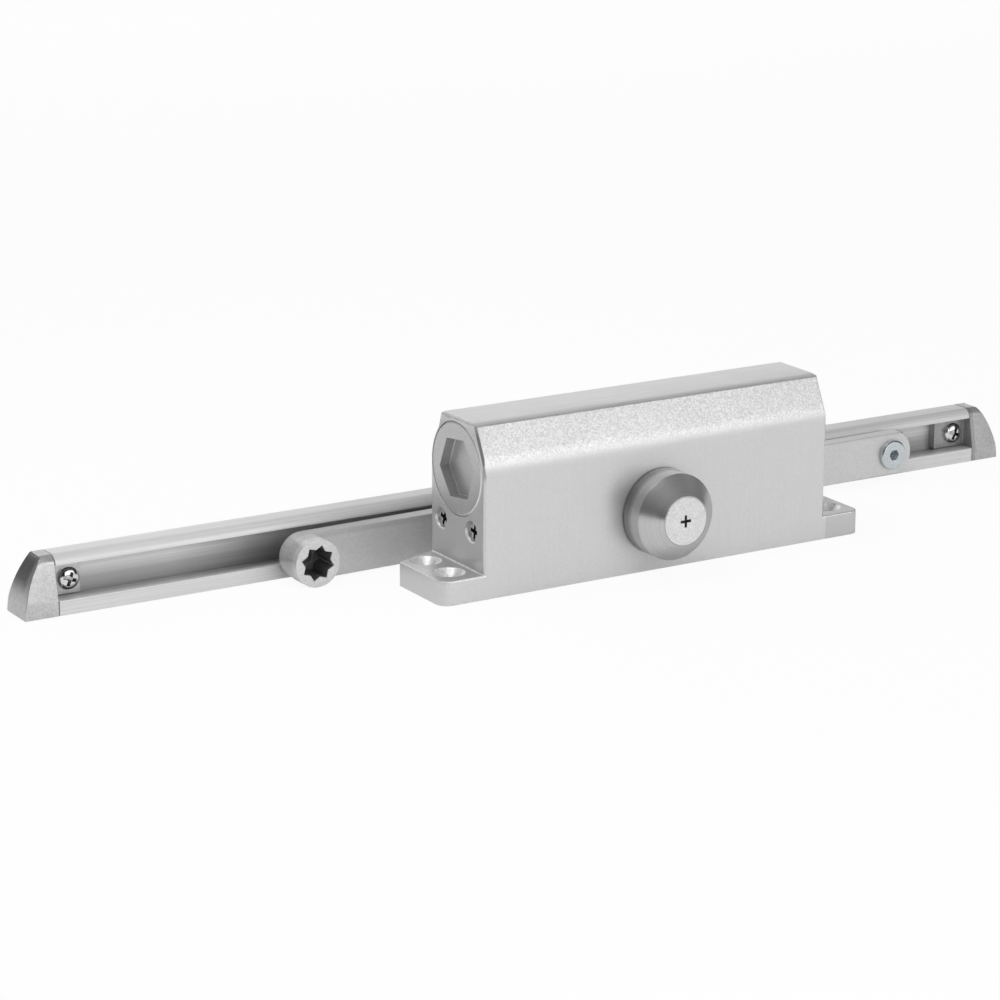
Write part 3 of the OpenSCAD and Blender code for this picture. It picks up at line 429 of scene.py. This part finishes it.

# %% [markdown]
# ## The housing and what is in its ends
# The housing is cast, sprayed silver, and rougher to the eye on its slanted face than on its
# flat top, where the casting was machined before it was painted. Painted highlights lie on the
# edges of its feet and of its left end, and painted shade on the right foot, on the slanted edge
# beside the left end and on the end above the plug. The mouths of the two valve holes have a
# painted highlight on their lower half and painted shade on their upper half, and the slots of
# the valve screws are darkened by painted shade. A plug closes each end, with painted highlights
# on its rims, and the walls of its hexagon socket take painted shade.

# %% The finishes of the housing, the plugs and the valve screws
foot_top = 9.1
left_end, right_end = (-FAR, end_x + 0.8), (-end_x - 0.8, FAR)
foot_edge = {"z": (foot_top - 3.2, foot_top + 1.0), "border": (0.2, 0.2, 0.2), "axis": Z_AXIS}
slant_side, slant_z = (-FAR, -8), (43, body_top - 1.3)
over_plug = (54, body_top - 0.7)
fading = (0.1, 1, 3)
housing_painted_light = [
    # painted highlights on the edges of both feet
    tint(1.5, x=left_end, **foot_edge),
    tint(1.5, x=right_end, **foot_edge),
    # a painted highlight on the edge between the left end and the flat top
    tint(1.2, x=(-FAR, end_x + 1.6), z=(body_top - 0.7, FAR), axis=X_AXIS),
    # painted shade on the right foot
    tint(0.86, x=(-end_x + 0.8, FAR), z=(-FAR, foot_top + 0.3)),
    # painted shade on the edge between the left end and the slanted face, and on the end above the plug
    tint(0.62, (-FAR, end_x + 1.4), slant_side, slant_z, border=fading, axis=X_AXIS),
    tint(0.86, x=(-FAR, end_x + 0.6), z=over_plug, border=fading),
]
mouth = 0.8  # how far the mouth of a valve hole reaches beyond the screw in it
# a painted highlight on the lower half of each valve hole's mouth, and painted shade on its upper half
for valve in ("closing_valve", "latching_valve"):
    (_, y_low, z_low), (_, y_high, z_high) = span(valve)
    middle = (z_low + z_high) / 2
    sides = (y_low - mouth, y_high + mouth)
    housing_painted_light.append(tint(1.9, left_end, sides, (z_low - mouth, middle - 0.5), axis=X_AXIS))
    housing_painted_light.append(tint(0.6, left_end, sides, (middle + 0.4, z_high + mouth), axis=X_AXIS))
finish("silver_paint", 0.53, 0.80, 0.68, (0.31, 0.38), coat, 0.02, zones=housing_painted_light)

plug_low, plug_high = span("left_end_plug")
# painted shade on the walls of the hexagon socket, and painted highlights on the plug's rims
socket_painted_shade = tint(0.72, (end_x + 0.35, end_x + 4.0), (-12, 13), (plug_low[2] + 3.0, plug_high[2] - 3.0))
finish("plug_metal", 0.54, 0.62, 0.7, (0.30, 0.40), flake, zones=[tint(1.5, axis=X_AXIS), socket_painted_shade])
# painted shade in the slots of the valve screws
painted_slot_shade = tint(0.2, x=(span("closing_valve")[0][0] + 0.15, FAR))
finish("valve_steel", 0.60, 0.74, 0.9, (0.22, 0.32), flake, zones=[painted_slot_shade])
print("finishes:", ", ".join(finishes))

# %% [markdown]
# ## The spindle's cover
# The cover is turned from bar, so it shows rings and a streak of light across them. Painted shade
# lies on its rear edge and its lower side, where the housing shades them, and low on its right
# half, with a painted highlight high on the right. The flat head of the screw at its tip is
# brighter, with painted shade in its cross.

# %% The finishes of the cover and its screw
cover_rear = span("spindle_cover")[1][1]
right_half = (1, FAR)
cover_painted_light = [
    # painted shade on the rear edge, beside the housing
    tint(0.5, y=(cover_rear - 5.5, FAR), border=(1, 3, 1)),
    # painted shade on the underside
    tint(0.66, z=(-FAR, 14), border=(1, 1, 8)),
    # the right half: painted shade low down, and a painted highlight high up
    tint(0.88, x=right_half, z=(-FAR, 27), border=(3, 1, 4)),
    tint(1.18, x=right_half, z=(26, FAR), border=(4, 1, 4)),
]
finish("turned_cover", 0.50, 0.64, 0.9, (0.24, 0.34), rings, anisotropic=0.5, zones=cover_painted_light)
# painted shade in the cross of the cover screw
painted_cross_shade = tint(0.25, y=(span("cover_screw")[0][1] + 0.15, FAR))
finish("screw_disc", 0.68, 0.84, 0.85, (0.34, 0.44), flake, zones=[painted_cross_shade])
print("finishes:", ", ".join(finishes))

# %% [markdown]
# ## The track and its ends
# The track is drawn aluminium. Painted shade darkens its channel, most of all behind the arm.
# Towards the left end the top gets a painted highlight, and the lip below the top painted shade.
# The end caps are sprayed, with painted shade where they curve away, over both caps and on the
# right cap's tongue. Their screws are bright zinc with painted shade in the cross.

# %% The finishes of the track, the end caps and their screws
(track_left, track_front), track_right = span("slide_track")[0][:2], span("slide_track")[1][0]
behind = (track_front + 0.5, FAR)
channel = [
    # painted shade on the floor and the back wall of the channel, and more of it behind the arm
    tint(0.63, y=behind, z=(-FAR, 13.5), border=(1, 4, 4)),
    tint(0.6, (-165, 120), behind, (-FAR, 17.5), border=(30, 4, 4)),
    # a painted highlight on the top towards the left end, and painted shade on the lip below it and on both
    # on the right
    tint(1.1, x=(-FAR, -90), z=(19.8, FAR), border=(60, 1, 1)),
    tint(0.8, (-FAR, -60), (-FAR, track_front + 2.4), (16.5, 19.6), border=(40, 1, 1)),
    tint(0.95, x=(40, FAR), z=(16.5, FAR), border=(30, 1, 1)),
]
finish("track_metal", 0.62, 0.74, 0.4, (0.40, 0.52), grain, 0.006, zones=channel)

curve_x = span("left_end_cap")[1][0] - 15.5
cap_painted_shade_and_seam = [
    # painted shade on the left cap where it curves away
    tint(0.48, (-FAR, curve_x), (track_front + 3.5, FAR), (8.5, FAR), border=(2, 2, 5)),
    # painted shade on all of the left cap, all of the right one, and the tongue of the right one
    tint(0.95, x=(-FAR, -200)),
    tint(0.86, x=(0, FAR)),
    tint(0.75, x=(150, 198.5)),
    # the seam between the left cap and the track
    tint(0.4, x=(track_left - 0.3, track_left + 0.1)),
]
finish("cap_coat", 0.50, 0.64, 0.72, (0.28, 0.40), flake, zones=cap_painted_shade_and_seam)

cap_screws = ("left_cap_screw", "right_cap_screw")
cross_reach = 2.8
cross_y = span("left_cap_screw")[0][1] + 0.42, span("left_cap_screw")[0][1] + 2.0
# painted shade in the cross of each cap screw
painted_recess_shade = [
    tint(0.25, (x - cross_reach, x + cross_reach), cross_y, border=(0.1, 0.2, 0.1))
    for x, *_ in map(middle_of, cap_screws)
]
finish("cap_zinc", 0.66, 0.84, 1.0, (0.08, 0.16), flake, 0.003, zones=painted_recess_shade)
print("finishes:", ", ".join(finishes))

# %% [markdown]
# ## The arm
# The bar is sprayed like the housing, with painted shade towards its left end, more on its upper
# half there, and along its top edge. The hub is a little brighter, with painted shade on its rear
# and in its eight-pointed socket. The pivot screw is zinc with a blue tinge.

# %% The finishes of the arm, its hub and the pivot screw
hub_side, soft_along = (-FAR, -50), (40, 1, 1)
arm_painted_shade = [
    # painted shade on the end with the hub, more on its upper half, and on the whole top edge
    tint(0.9, x=hub_side, border=soft_along),
    tint(0.84, x=hub_side, z=(15.5, FAR), border=soft_along),
    tint(0.88, z=(19, FAR), border=(1, 1, 1)),
]
finish("arm_coat", 0.59, 0.66, 0.5, (0.34, 0.42), flake, zones=arm_painted_shade)

hub_x, _, hub_z = middle_of("arm_hub")
hub_front = span("arm_hub")[0][1]
star = 6.4  # half the width of the socket
# painted shade in the hub's socket and on its rear
painted_star_shade = tint(0.25, (hub_x - star, hub_x + star), (hub_front + 0.3, FAR), (hub_z - star, hub_z + star))
painted_hub_rear_shade = tint(0.8, y=(hub_front + 2, FAR), border=(1, 2, 1))
finish("hub_coat", 0.60, 0.72, 0.5, (0.34, 0.44), flake, zones=[painted_star_shade, painted_hub_rear_shade])
finish("pivot_zinc", (0.55, 0.59, 0.61), (0.66, 0.71, 0.74), 1.0, (0.18, 0.26), flake, 0.004)
print("finishes:", ", ".join(finishes))

# %% [markdown]
# ## The parts inside
# The spindle, the piston and the bearing nuts are steel, the bushes are bronze, the springs are
# dark spring steel and the seals are rubber. The slider and the washer on it are plastic, so that
# they run quietly in the track.

# %% The finishes of the parts inside
finish("steel", 0.40, 0.52, 0.95, (0.26, 0.38), rings)
finish("spring_steel", 0.10, 0.20, 0.9, (0.3, 0.42), grain, values={"Along": 400.0})
finish("bronze", (0.48, 0.28, 0.10), (0.62, 0.40, 0.16), 0.9, (0.3, 0.42), rings)
finish("seal_rubber", 0.012, 0.022, 0.0, (0.55, 0.7), flake)
finish("slider_plastic", 0.02, 0.035, 0.0, (0.42, 0.55), flake)
finish("washer_plastic", 0.62, 0.72, 0.0, (0.35, 0.5), flake)
print("finishes:", ", ".join(finishes))

# %% [markdown]
# ## Every node gets its finish
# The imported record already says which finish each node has. So the finish is looked up there by
# the node's name, and put in the node's material slot. A few nodes share a slot in the record but
# look different on the real thing, and these are named here.

# %% Give the CAD nodes their finishes
slot_of = {part["node"]: part["material_slot"] for part in frame["record"]["subparts"]}
special = {
    "cover_screw": "screw_disc",
    "closing_valve": "valve_steel",
    "latching_valve": "valve_steel",
    "left_cap_screw": "cap_zinc",
    "right_cap_screw": "cap_zinc",
    "pivot_screw": "pivot_zinc",
    "arm_hub": "hub_coat",
}
finish_of = {name: finishes[special.get(name, slot_of[name])] for name in nodes}
for name, thing in nodes.items():
    thing.data.materials.clear()
    thing.data.materials.append(finish_of[name])
print("nodes with a finish:", len(finish_of))

# %% [markdown]
# ## Softened edges
# A drawing has perfect edges and a cast or milled piece has none: each corner catches a thin
# line of light. The CAD mesh is loose triangles, so a copy is merged and a narrow bevel is put on
# its sharp edges. The bevel is cut into the piece, so the sizes stay. Afterwards the normals are
# weighted by area, so that a flat face beside a bevel still looks flat.

# %% Helpers that soften a node
MERGE_DISTANCE = 0.002
SHARP_ANGLE = math.radians(35)
SMOOTH_BELOW = math.radians(40)
AREA_WEIGHT = 75


def evaluated_mesh(thing):
    """The mesh of an object with its modifiers applied. The modifiers are removed."""
    bpy.context.view_layer.update()
    mesh = bpy.data.meshes.new_from_object(thing.evaluated_get(bpy.context.evaluated_depsgraph_get()))
    thing.modifiers.clear()
    return mesh


def dress(mesh, piece_name, *stands_for):
    """Makes a mesh a piece that replaces CAD nodes: same body, same finish, smooth but for its corners."""
    piece = bpy.data.objects.new(piece_name, mesh)
    bpy.context.scene.collection.objects.link(piece)
    mesh.shade_smooth()
    mesh.set_sharp_from_angle(angle=SMOOTH_BELOW)
    even = piece.modifiers.new("even", "WEIGHTED_NORMAL")
    even.keep_sharp = True
    even.weight = AREA_WEIGHT
    piece.data = mesh = evaluated_mesh(piece)
    mesh.materials.clear()
    mesh.materials.append(finish_of[stands_for[0]])
    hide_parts(*stands_for)
    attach(piece, body_of[stands_for[0]])
    print(piece.name, len(mesh.polygons), "faces")


def softened(name, width, share_of=None):
    """A merged copy of a CAD node with its sharp edges bevelled by width, standing for the node.

    With share_of, each edge takes its own share of the width. Flat faces stay in triangles, because
    a face with several holes can't be joined safely.
    """
    shell = bmesh.new()
    shell.from_mesh(nodes[name].data)
    bmesh.ops.remove_doubles(shell, verts=shell.verts, dist=MERGE_DISTANCE * mm)
    if share_of:
        share = shell.edges.layers.float.new("bevel_weight_edge")
        for edge in shell.edges:
            if len(edge.link_faces) == 2 and edge.calc_face_angle(0) > SHARP_ANGLE:
                edge[share] = share_of(edge)
    mesh = bpy.data.meshes.new(name + "_rough")
    shell.to_mesh(mesh)
    shell.free()
    rough = bpy.data.objects.new(name + "_rough", mesh)
    bpy.context.scene.collection.objects.link(rough)
    bevel = rough.modifiers.new("soft_edges", "BEVEL")
    bevel.width = width * mm
    bevel.segments = 2
    bevel.limit_method = "WEIGHT" if share_of else "ANGLE"
    bevel.angle_limit = SHARP_ANGLE
    bevel.use_clamp_overlap = False
    made = evaluated_mesh(rough)
    bpy.data.objects.remove(rough)
    dress(made, name + "_skin", name)


print("helpers ready")

# %% [markdown]
# The housing's feet have wide edges, as they come from the mould, while the metal beside the plugs
# and round the spindle is thin and takes a narrow bevel only. On the track, the long edges of the
# profile and its cut ends are softened, but not its fixing holes.

# %% Soften the housing and the track
# places and reaches in millimetres: the fixing holes, the spindle's bore and the plugs
hole_x, hole_y, hole_reach = 84.0, 8.45, 6.6
spindle_z, spindle_reach = 22.5, 18
plug_above = 30
foot_front = 10
LONG_EDGE = 20


def edge_middle(edge):
    """The middle of an edge, in millimetres."""
    return (edge.verts[0].co + edge.verts[1].co) / 2 / mm


def housing_share(edge):
    """Wide on the feet, as cast, and narrow where the metal beside an edge is thin or hidden."""
    middle = edge_middle(edge)
    if middle.z < 0.1:
        return 0.0
    if abs(middle.y) > body_rear - 0.3 and math.hypot(middle.x, middle.z - spindle_z) < spindle_reach:
        return 0.05
    if math.hypot(abs(middle.x) - hole_x, abs(middle.y) - hole_y) < hole_reach:
        return 0.35
    if abs(middle.x) > -end_x - 0.2 and abs(middle.z - foot_top) < 0.2:
        return 1.0 if middle.y < foot_front else 0.4
    if abs(middle.x) > -end_x - 1.5 and middle.z > plug_above:
        return 0.15
    return 0.4


def track_share(edge):
    """All of the width on long edges and at the cut ends, and none elsewhere."""
    x = edge_middle(edge).x
    at_end = min(abs(x - track_left), abs(x - track_right)) < 0.1
    return 1.0 if at_end or edge.calc_length() > LONG_EDGE * mm else 0.0


softened("housing", 0.6, housing_share)
softened("slide_track", 0.25, track_share)

# %% [markdown]
# The other pieces take one width all over: the cast caps, the plugs and the arm a wide one, and
# the screws a narrow one, because small turned edges stay crisp.

# %% Soften the other pieces in view
for name, width in {
    "left_end_plug": 0.3,
    "right_end_plug": 0.3,
    "spindle_cover": 0.2,
    "left_end_cap": 0.3,
    "right_end_cap": 0.3,
    "slide_arm": 0.35,
    "arm_hub": 0.2,
    "cover_screw": 0.12,
    "closing_valve": 0.12,
    "latching_valve": 0.12,
    "pivot_screw": 0.12,
    "slider_block": 0.2,
}.items():
    softened(name, width)

# %% [markdown]
# ## Screws that are repeated
# The two screws in the end caps are alike, so one is modelled and Geometry Nodes puts it at both
# places. The group works for any row of like parts: a start, a step and a count are its inputs.

# %% A group that repeats a part along a line
repeat = bpy.data.node_groups.new("repeat_on_line", "GeometryNodeTree")
for label, kind in (
    ("Part", "NodeSocketObject"),
    ("Count", "NodeSocketInt"),
    ("Start", "NodeSocketVector"),
    ("Step", "NodeSocketVector"),
    ("Material", "NodeSocketMaterial"),
):
    repeat.interface.new_socket(name=label, in_out="INPUT", socket_type=kind)
repeat.interface.new_socket(name="Geometry", in_out="OUTPUT", socket_type="NodeSocketGeometry")
given, result = repeat.nodes.new("NodeGroupInput"), repeat.nodes.new("NodeGroupOutput")
line = repeat.nodes.new("GeometryNodeMeshLine")
part = repeat.nodes.new("GeometryNodeObjectInfo")
copies = repeat.nodes.new("GeometryNodeInstanceOnPoints")
real = repeat.nodes.new("GeometryNodeRealizeInstances")
painted = repeat.nodes.new("GeometryNodeSetMaterial")
for source, target in (
    (given.outputs["Count"], line.inputs["Count"]),
    (given.outputs["Start"], line.inputs["Start Location"]),
    (given.outputs["Step"], line.inputs["Offset"]),
    (given.outputs["Part"], part.inputs["Object"]),
    (line.outputs["Mesh"], copies.inputs["Points"]),
    (part.outputs["Geometry"], copies.inputs["Instance"]),
    (copies.outputs["Instances"], real.inputs["Geometry"]),
    (real.outputs["Geometry"], painted.inputs["Geometry"]),
    (given.outputs["Material"], painted.inputs["Material"]),
    (painted.outputs["Geometry"], result.inputs["Geometry"]),
):
    repeat.links.new(source, target)
print("group", repeat.name)

# %% [markdown]
# The screw is turned from a profile: a quarter of an ellipse gives the dome of a real pan head,
# and a shank follows. Blender's Screw modifier could do it as well, but rows of points keep the
# tip and the end of the shank closed by a single point each.

# %% Turn a pan head screw
AROUND = 72
DOME_STEPS = 12


def turned_mesh(name, profile):
    """A closed solid of revolution about Y. The profile is (radius, place) from tip to tip."""
    shape = bmesh.new()
    rows = []
    for radius, place in profile:
        angles = [2 * math.pi * k / AROUND for k in range(AROUND if radius > 0 else 1)]
        rows.append([shape.verts.new((radius * math.cos(a), place, radius * math.sin(a))) for a in angles])
    for near, far in zip(rows, rows[1:]):
        for k in range(AROUND):
            n = k + 1
            ring = near[k % len(near)], near[n % len(near)], far[n % len(far)], far[k % len(far)]
            shape.faces.new(list(dict.fromkeys(ring)))
    bmesh.ops.recalc_face_normals(shape, faces=shape.faces)
    mesh = bpy.data.meshes.new(name)
    shape.to_mesh(mesh)
    shape.free()
    return mesh


low, high = span("left_cap_screw")
head_r, head_h, shank_r, dome_h = (high[0] - low[0]) / 2, 2.5, 2.0, 1.7
length = high[1] - low[1]
profile = [(0, 0)]
for k in range(1, DOME_STEPS + 1):
    a = math.radians(90 * k / DOME_STEPS)
    profile.append((head_r * math.sin(a), dome_h * (1 - math.cos(a))))
profile += [(head_r, head_h), (shank_r, head_h), (shank_r, length), (0, length)]
screw = bpy.data.objects.new("pan_screw", turned_mesh("pan_screw", [(r * mm, y * mm) for r, y in profile]))
bpy.context.scene.collection.objects.link(screw)
print("screw:", round(2 * head_r, 2), "mm head,", round(length, 2), "mm long")

# %% [markdown]
# Two bars at right angles make the cutter for the cross, turned a little, as a screw stops where
# it is tight. The exact solver is told that the cutter crosses itself, so it takes the two bars
# as one shape.

# %% Cut the cross in its head
cross_l, cross_w, cross_depth, cross_turn = 5.2, 1.35, 1.9, 20
cutter_shape = bmesh.new()
for turn in (cross_turn, cross_turn + 90):
    bar = bmesh.ops.create_cube(cutter_shape, size=1)["verts"]
    bmesh.ops.scale(cutter_shape, vec=Vector((cross_l, 2 * cross_depth, cross_w)) * mm, verts=bar)
    bmesh.ops.rotate(cutter_shape, matrix=Matrix.Rotation(math.radians(turn), 3, "Y"), verts=bar)
cutter_mesh = bpy.data.meshes.new("cross_cutter")
cutter_shape.to_mesh(cutter_mesh)
cutter_shape.free()
cutter = bpy.data.objects.new("cross_cutter", cutter_mesh)
bpy.context.scene.collection.objects.link(cutter)
cut = screw.modifiers.new("cross", "BOOLEAN")
cut.operation, cut.solver, cut.use_self, cut.object = "DIFFERENCE", "EXACT", True, cutter
screw.data = evaluated_mesh(screw)
print("screw with its cross:", len(screw.data.polygons), "faces")

# %% [markdown]
# The repeat group works on an empty holder. Its result becomes a plain mesh, and the holder, the
# single screw and the cutter are removed, so that only finished pieces are left.

# %% Put the screw at both ends of the track
start, stop = (
    Vector(((low[0] + high[0]) / 2, low[1], (low[2] + high[2]) / 2)) * mm
    for low, high in map(span, cap_screws)
)
holder = bpy.data.objects.new("cap_screws_holder", bpy.data.meshes.new("cap_screws_holder"))
bpy.context.scene.collection.objects.link(holder)
row = holder.modifiers.new("row", "NODES")
row.node_group = repeat
settings = {"Part": screw, "Count": 2, "Start": start, "Step": stop - start, "Material": finishes["cap_zinc"]}
for item in repeat.interface.items_tree:
    if item.in_out == "INPUT":
        row[item.identifier] = settings[item.name]
screws_mesh = evaluated_mesh(holder)
for thing in (holder, screw, cutter):
    bpy.data.objects.remove(thing)
dress(screws_mesh, "cap_screws", *cap_screws)

# %% [markdown]
# ## The floor
# The object lies on white paper. The paper shows white to the camera and partly in reflections,
# and still takes a soft shadow, because a part of it is a plain matt surface.

# %% White paper
PAPER_TONE = 0.86
PAPER_GLOW = 0.93
GLOW_IN_GLOSS = 0.35
PAPER_REACH = 6.0
UNDER_OBJECT = 0.0002


def seen_by(tree, rays):
    """The greatest of the named outputs of a Light Path node, each multiplied by its factor."""
    path = tree.nodes.new("ShaderNodeLightPath")
    seen = 0.0
    for label, factor in rays.items():
        seen = math_node(tree, "MAXIMUM", seen, math_node(tree, "MULTIPLY", path.outputs[label], factor))
    return seen


def join_shaders(tree, factor, first, second, output):
    """Mixes two shaders by a factor and links the result to a new output node."""
    join = tree.nodes.new("ShaderNodeMixShader")
    for target, source in zip(join.inputs, (factor, first.outputs[0], second.outputs[0])):
        feed(tree, target, source)
    feed(tree, tree.nodes.new(output).inputs[0], join.outputs[0])


paper = bpy.data.materials.new("paper")
paper.use_nodes = True
tree = paper.node_tree
tree.nodes.clear()
matt = tree.nodes.new("ShaderNodeBsdfDiffuse")
matt.inputs["Color"].default_value = (PAPER_TONE, PAPER_TONE, PAPER_TONE, 1)
glow = tree.nodes.new("ShaderNodeEmission")
seen = seen_by(tree, {"Is Camera Ray": 1.0, "Is Transmission Ray": 1.0, "Is Glossy Ray": GLOW_IN_GLOSS})
join_shaders(tree, math_node(tree, "MULTIPLY", seen, PAPER_GLOW), matt, glow, "ShaderNodeOutputMaterial")

floor_mesh = bpy.data.meshes.new("floor")
below = cad_box[0][2] - UNDER_OBJECT
corners = ((-1, -1), (1, -1), (1, 1), (-1, 1))
floor_mesh.from_pydata([(x * PAPER_REACH, y * PAPER_REACH, below) for x, y in corners], [], [(0, 1, 2, 3)])
floor_mesh.materials.append(paper)
floor = bpy.data.objects.new("floor", floor_mesh)
bpy.context.scene.collection.objects.link(floor)
print("floor at", round(below / mm, 2), "mm")

# %% [markdown]
# ## The light
# The photograph was taken with wide softboxes, one in front to the right and one behind to the
# right, on white paper in a room that is otherwise dim. The dark parts of the room matter as much
# as the bright ones: lacquer and turned metal show them, and that is what draws the edges of the
# closer. So a dark dome stands over the scene. Only glossy rays see it, and the even grey light of
# the world still reaches every matt surface.

# %% The surroundings
ROOM = 0.54
ROOM_SLOPE = 0.02
BRIGHTER_SIDE = (0.66, -0.75, 0.0)
world = bpy.data.worlds.new("studio")
world.use_nodes = True
bpy.context.scene.world = world
tree = world.node_tree
tree.nodes.clear()
room = tree.nodes.new("ShaderNodeBackground")
side = dot_product(tree, tree.nodes.new("ShaderNodeTexCoord").outputs["Generated"], BRIGHTER_SIDE)
feed(tree, room.inputs["Strength"], math_node(tree, "MULTIPLY_ADD", side, ROOM_SLOPE, ROOM))
plain = tree.nodes.new("ShaderNodeBackground")
plain.inputs["Color"].default_value = (1, 1, 1, 1)
seen = seen_by(tree, {"Is Camera Ray": 1.0, "Is Glossy Ray": 1.0, "Is Transmission Ray": 1.0})
join_shaders(tree, seen, room, plain, "ShaderNodeOutputWorld")
print("world ready")

# %% [markdown]
# The dome is the upper part of a sphere, with the white paper as its floor. It is a little
# brighter overhead than at its foot.

# %% The dark dome
DUSK, DUSK_RISE = 0.04, 0.16
RISE_FROM, RISE_TO = 0.6, 1.8
DOME_RADIUS = 2.6
ABOVE_PAPER = 0.001
dusk = bpy.data.materials.new("dusk")
dusk.use_nodes = True
tree = dusk.node_tree
tree.nodes.clear()
glow = tree.nodes.new("ShaderNodeEmission")
height = tree.nodes.new("ShaderNodeSeparateXYZ")
feed(tree, height.inputs[0], tree.nodes.new("ShaderNodeTexCoord").outputs["Object"])
rise = spread(tree, height.outputs[2], RISE_FROM, RISE_TO)
feed(tree, glow.inputs["Strength"], math_node(tree, "MULTIPLY_ADD", rise, DUSK_RISE, DUSK))
feed(tree, tree.nodes.new("ShaderNodeOutputMaterial").inputs[0], glow.outputs[0])
dome_shape = bmesh.new()
bmesh.ops.create_uvsphere(dome_shape, u_segments=48, v_segments=24, radius=DOME_RADIUS)
bmesh.ops.bisect_plane(
    dome_shape,
    geom=dome_shape.verts[:] + dome_shape.edges[:] + dome_shape.faces[:],
    plane_co=(0, 0, below + ABOVE_PAPER),
    plane_no=(0, 0, 1),
    clear_inner=True,
)
dome_mesh = bpy.data.meshes.new("dome")
dome_shape.to_mesh(dome_mesh)
dome_shape.free()
dome_mesh.materials.append(dusk)
dome = bpy.data.objects.new("dome", dome_mesh)
bpy.context.scene.collection.objects.link(dome)
for kind in ("camera", "diffuse", "shadow", "transmission", "volume_scatter"):
    setattr(dome, "visible_" + kind, False)
print("dome with", len(dome_mesh.polygons), "faces")

# %% [markdown]
# Each lamp is a soft rectangle that looks at the object. A lamp in a list is easy to move, because
# its place is only a direction and a distance. The fills aren't seen in gloss, so that they lift
# the shade without a bright spot of their own.

# %% The lamps
# name, direction from the object, distance, (width, height), brightness, seen in gloss
LAMPS = (
    ("front_softbox", (0.26, -0.89, 0.34), 1.7, (1.7, 1.0), 1.9, True),
    ("rear_softbox", (0.34, 0.88, 0.30), 1.7, (1.8, 0.8), 1.0, True),
    ("left_rear", (-0.07, 0.80, 0.53), 1.7, (0.5, 0.4), 1.4, True),
    ("high_fill", (-0.30, -0.10, 1.0), 1.5, (1.2, 1.2), 0.3, False),
    ("top_left", (-0.36, 0.22, 0.90), 0.55, (0.3, 0.3), 2.0, False),
    ("top_panel", (-0.28, -0.08, 0.95), 1.2, (0.7, 0.7), 1.4, True),
    ("front_left", (-0.40, -0.85, 0.35), 0.70, (0.3, 0.3), 1.6, False),
    ("left_fill", (-0.85, -0.45, 0.30), 1.6, (1.0, 1.0), 0.3, False),
)


def lamp(name, towards, distance, size, radiance, glossy):
    """A soft lamp in a direction from the object, as bright to the eye as radiance."""
    data = bpy.data.lights.new(name, "AREA")
    data.shape = "RECTANGLE"
    data.size, data.size_y = size
    data.energy = radiance * math.pi * size[0] * size[1]
    thing = bpy.data.objects.new(name, data)
    place = Vector(towards).normalized() * distance
    thing.location = place
    thing.rotation_euler = (-place).to_track_quat("-Z", "Y").to_euler()
    thing.visible_glossy = glossy
    bpy.context.scene.collection.objects.link(thing)


for settings in LAMPS:
    lamp(*settings)
print("lamps placed:", len(LAMPS))
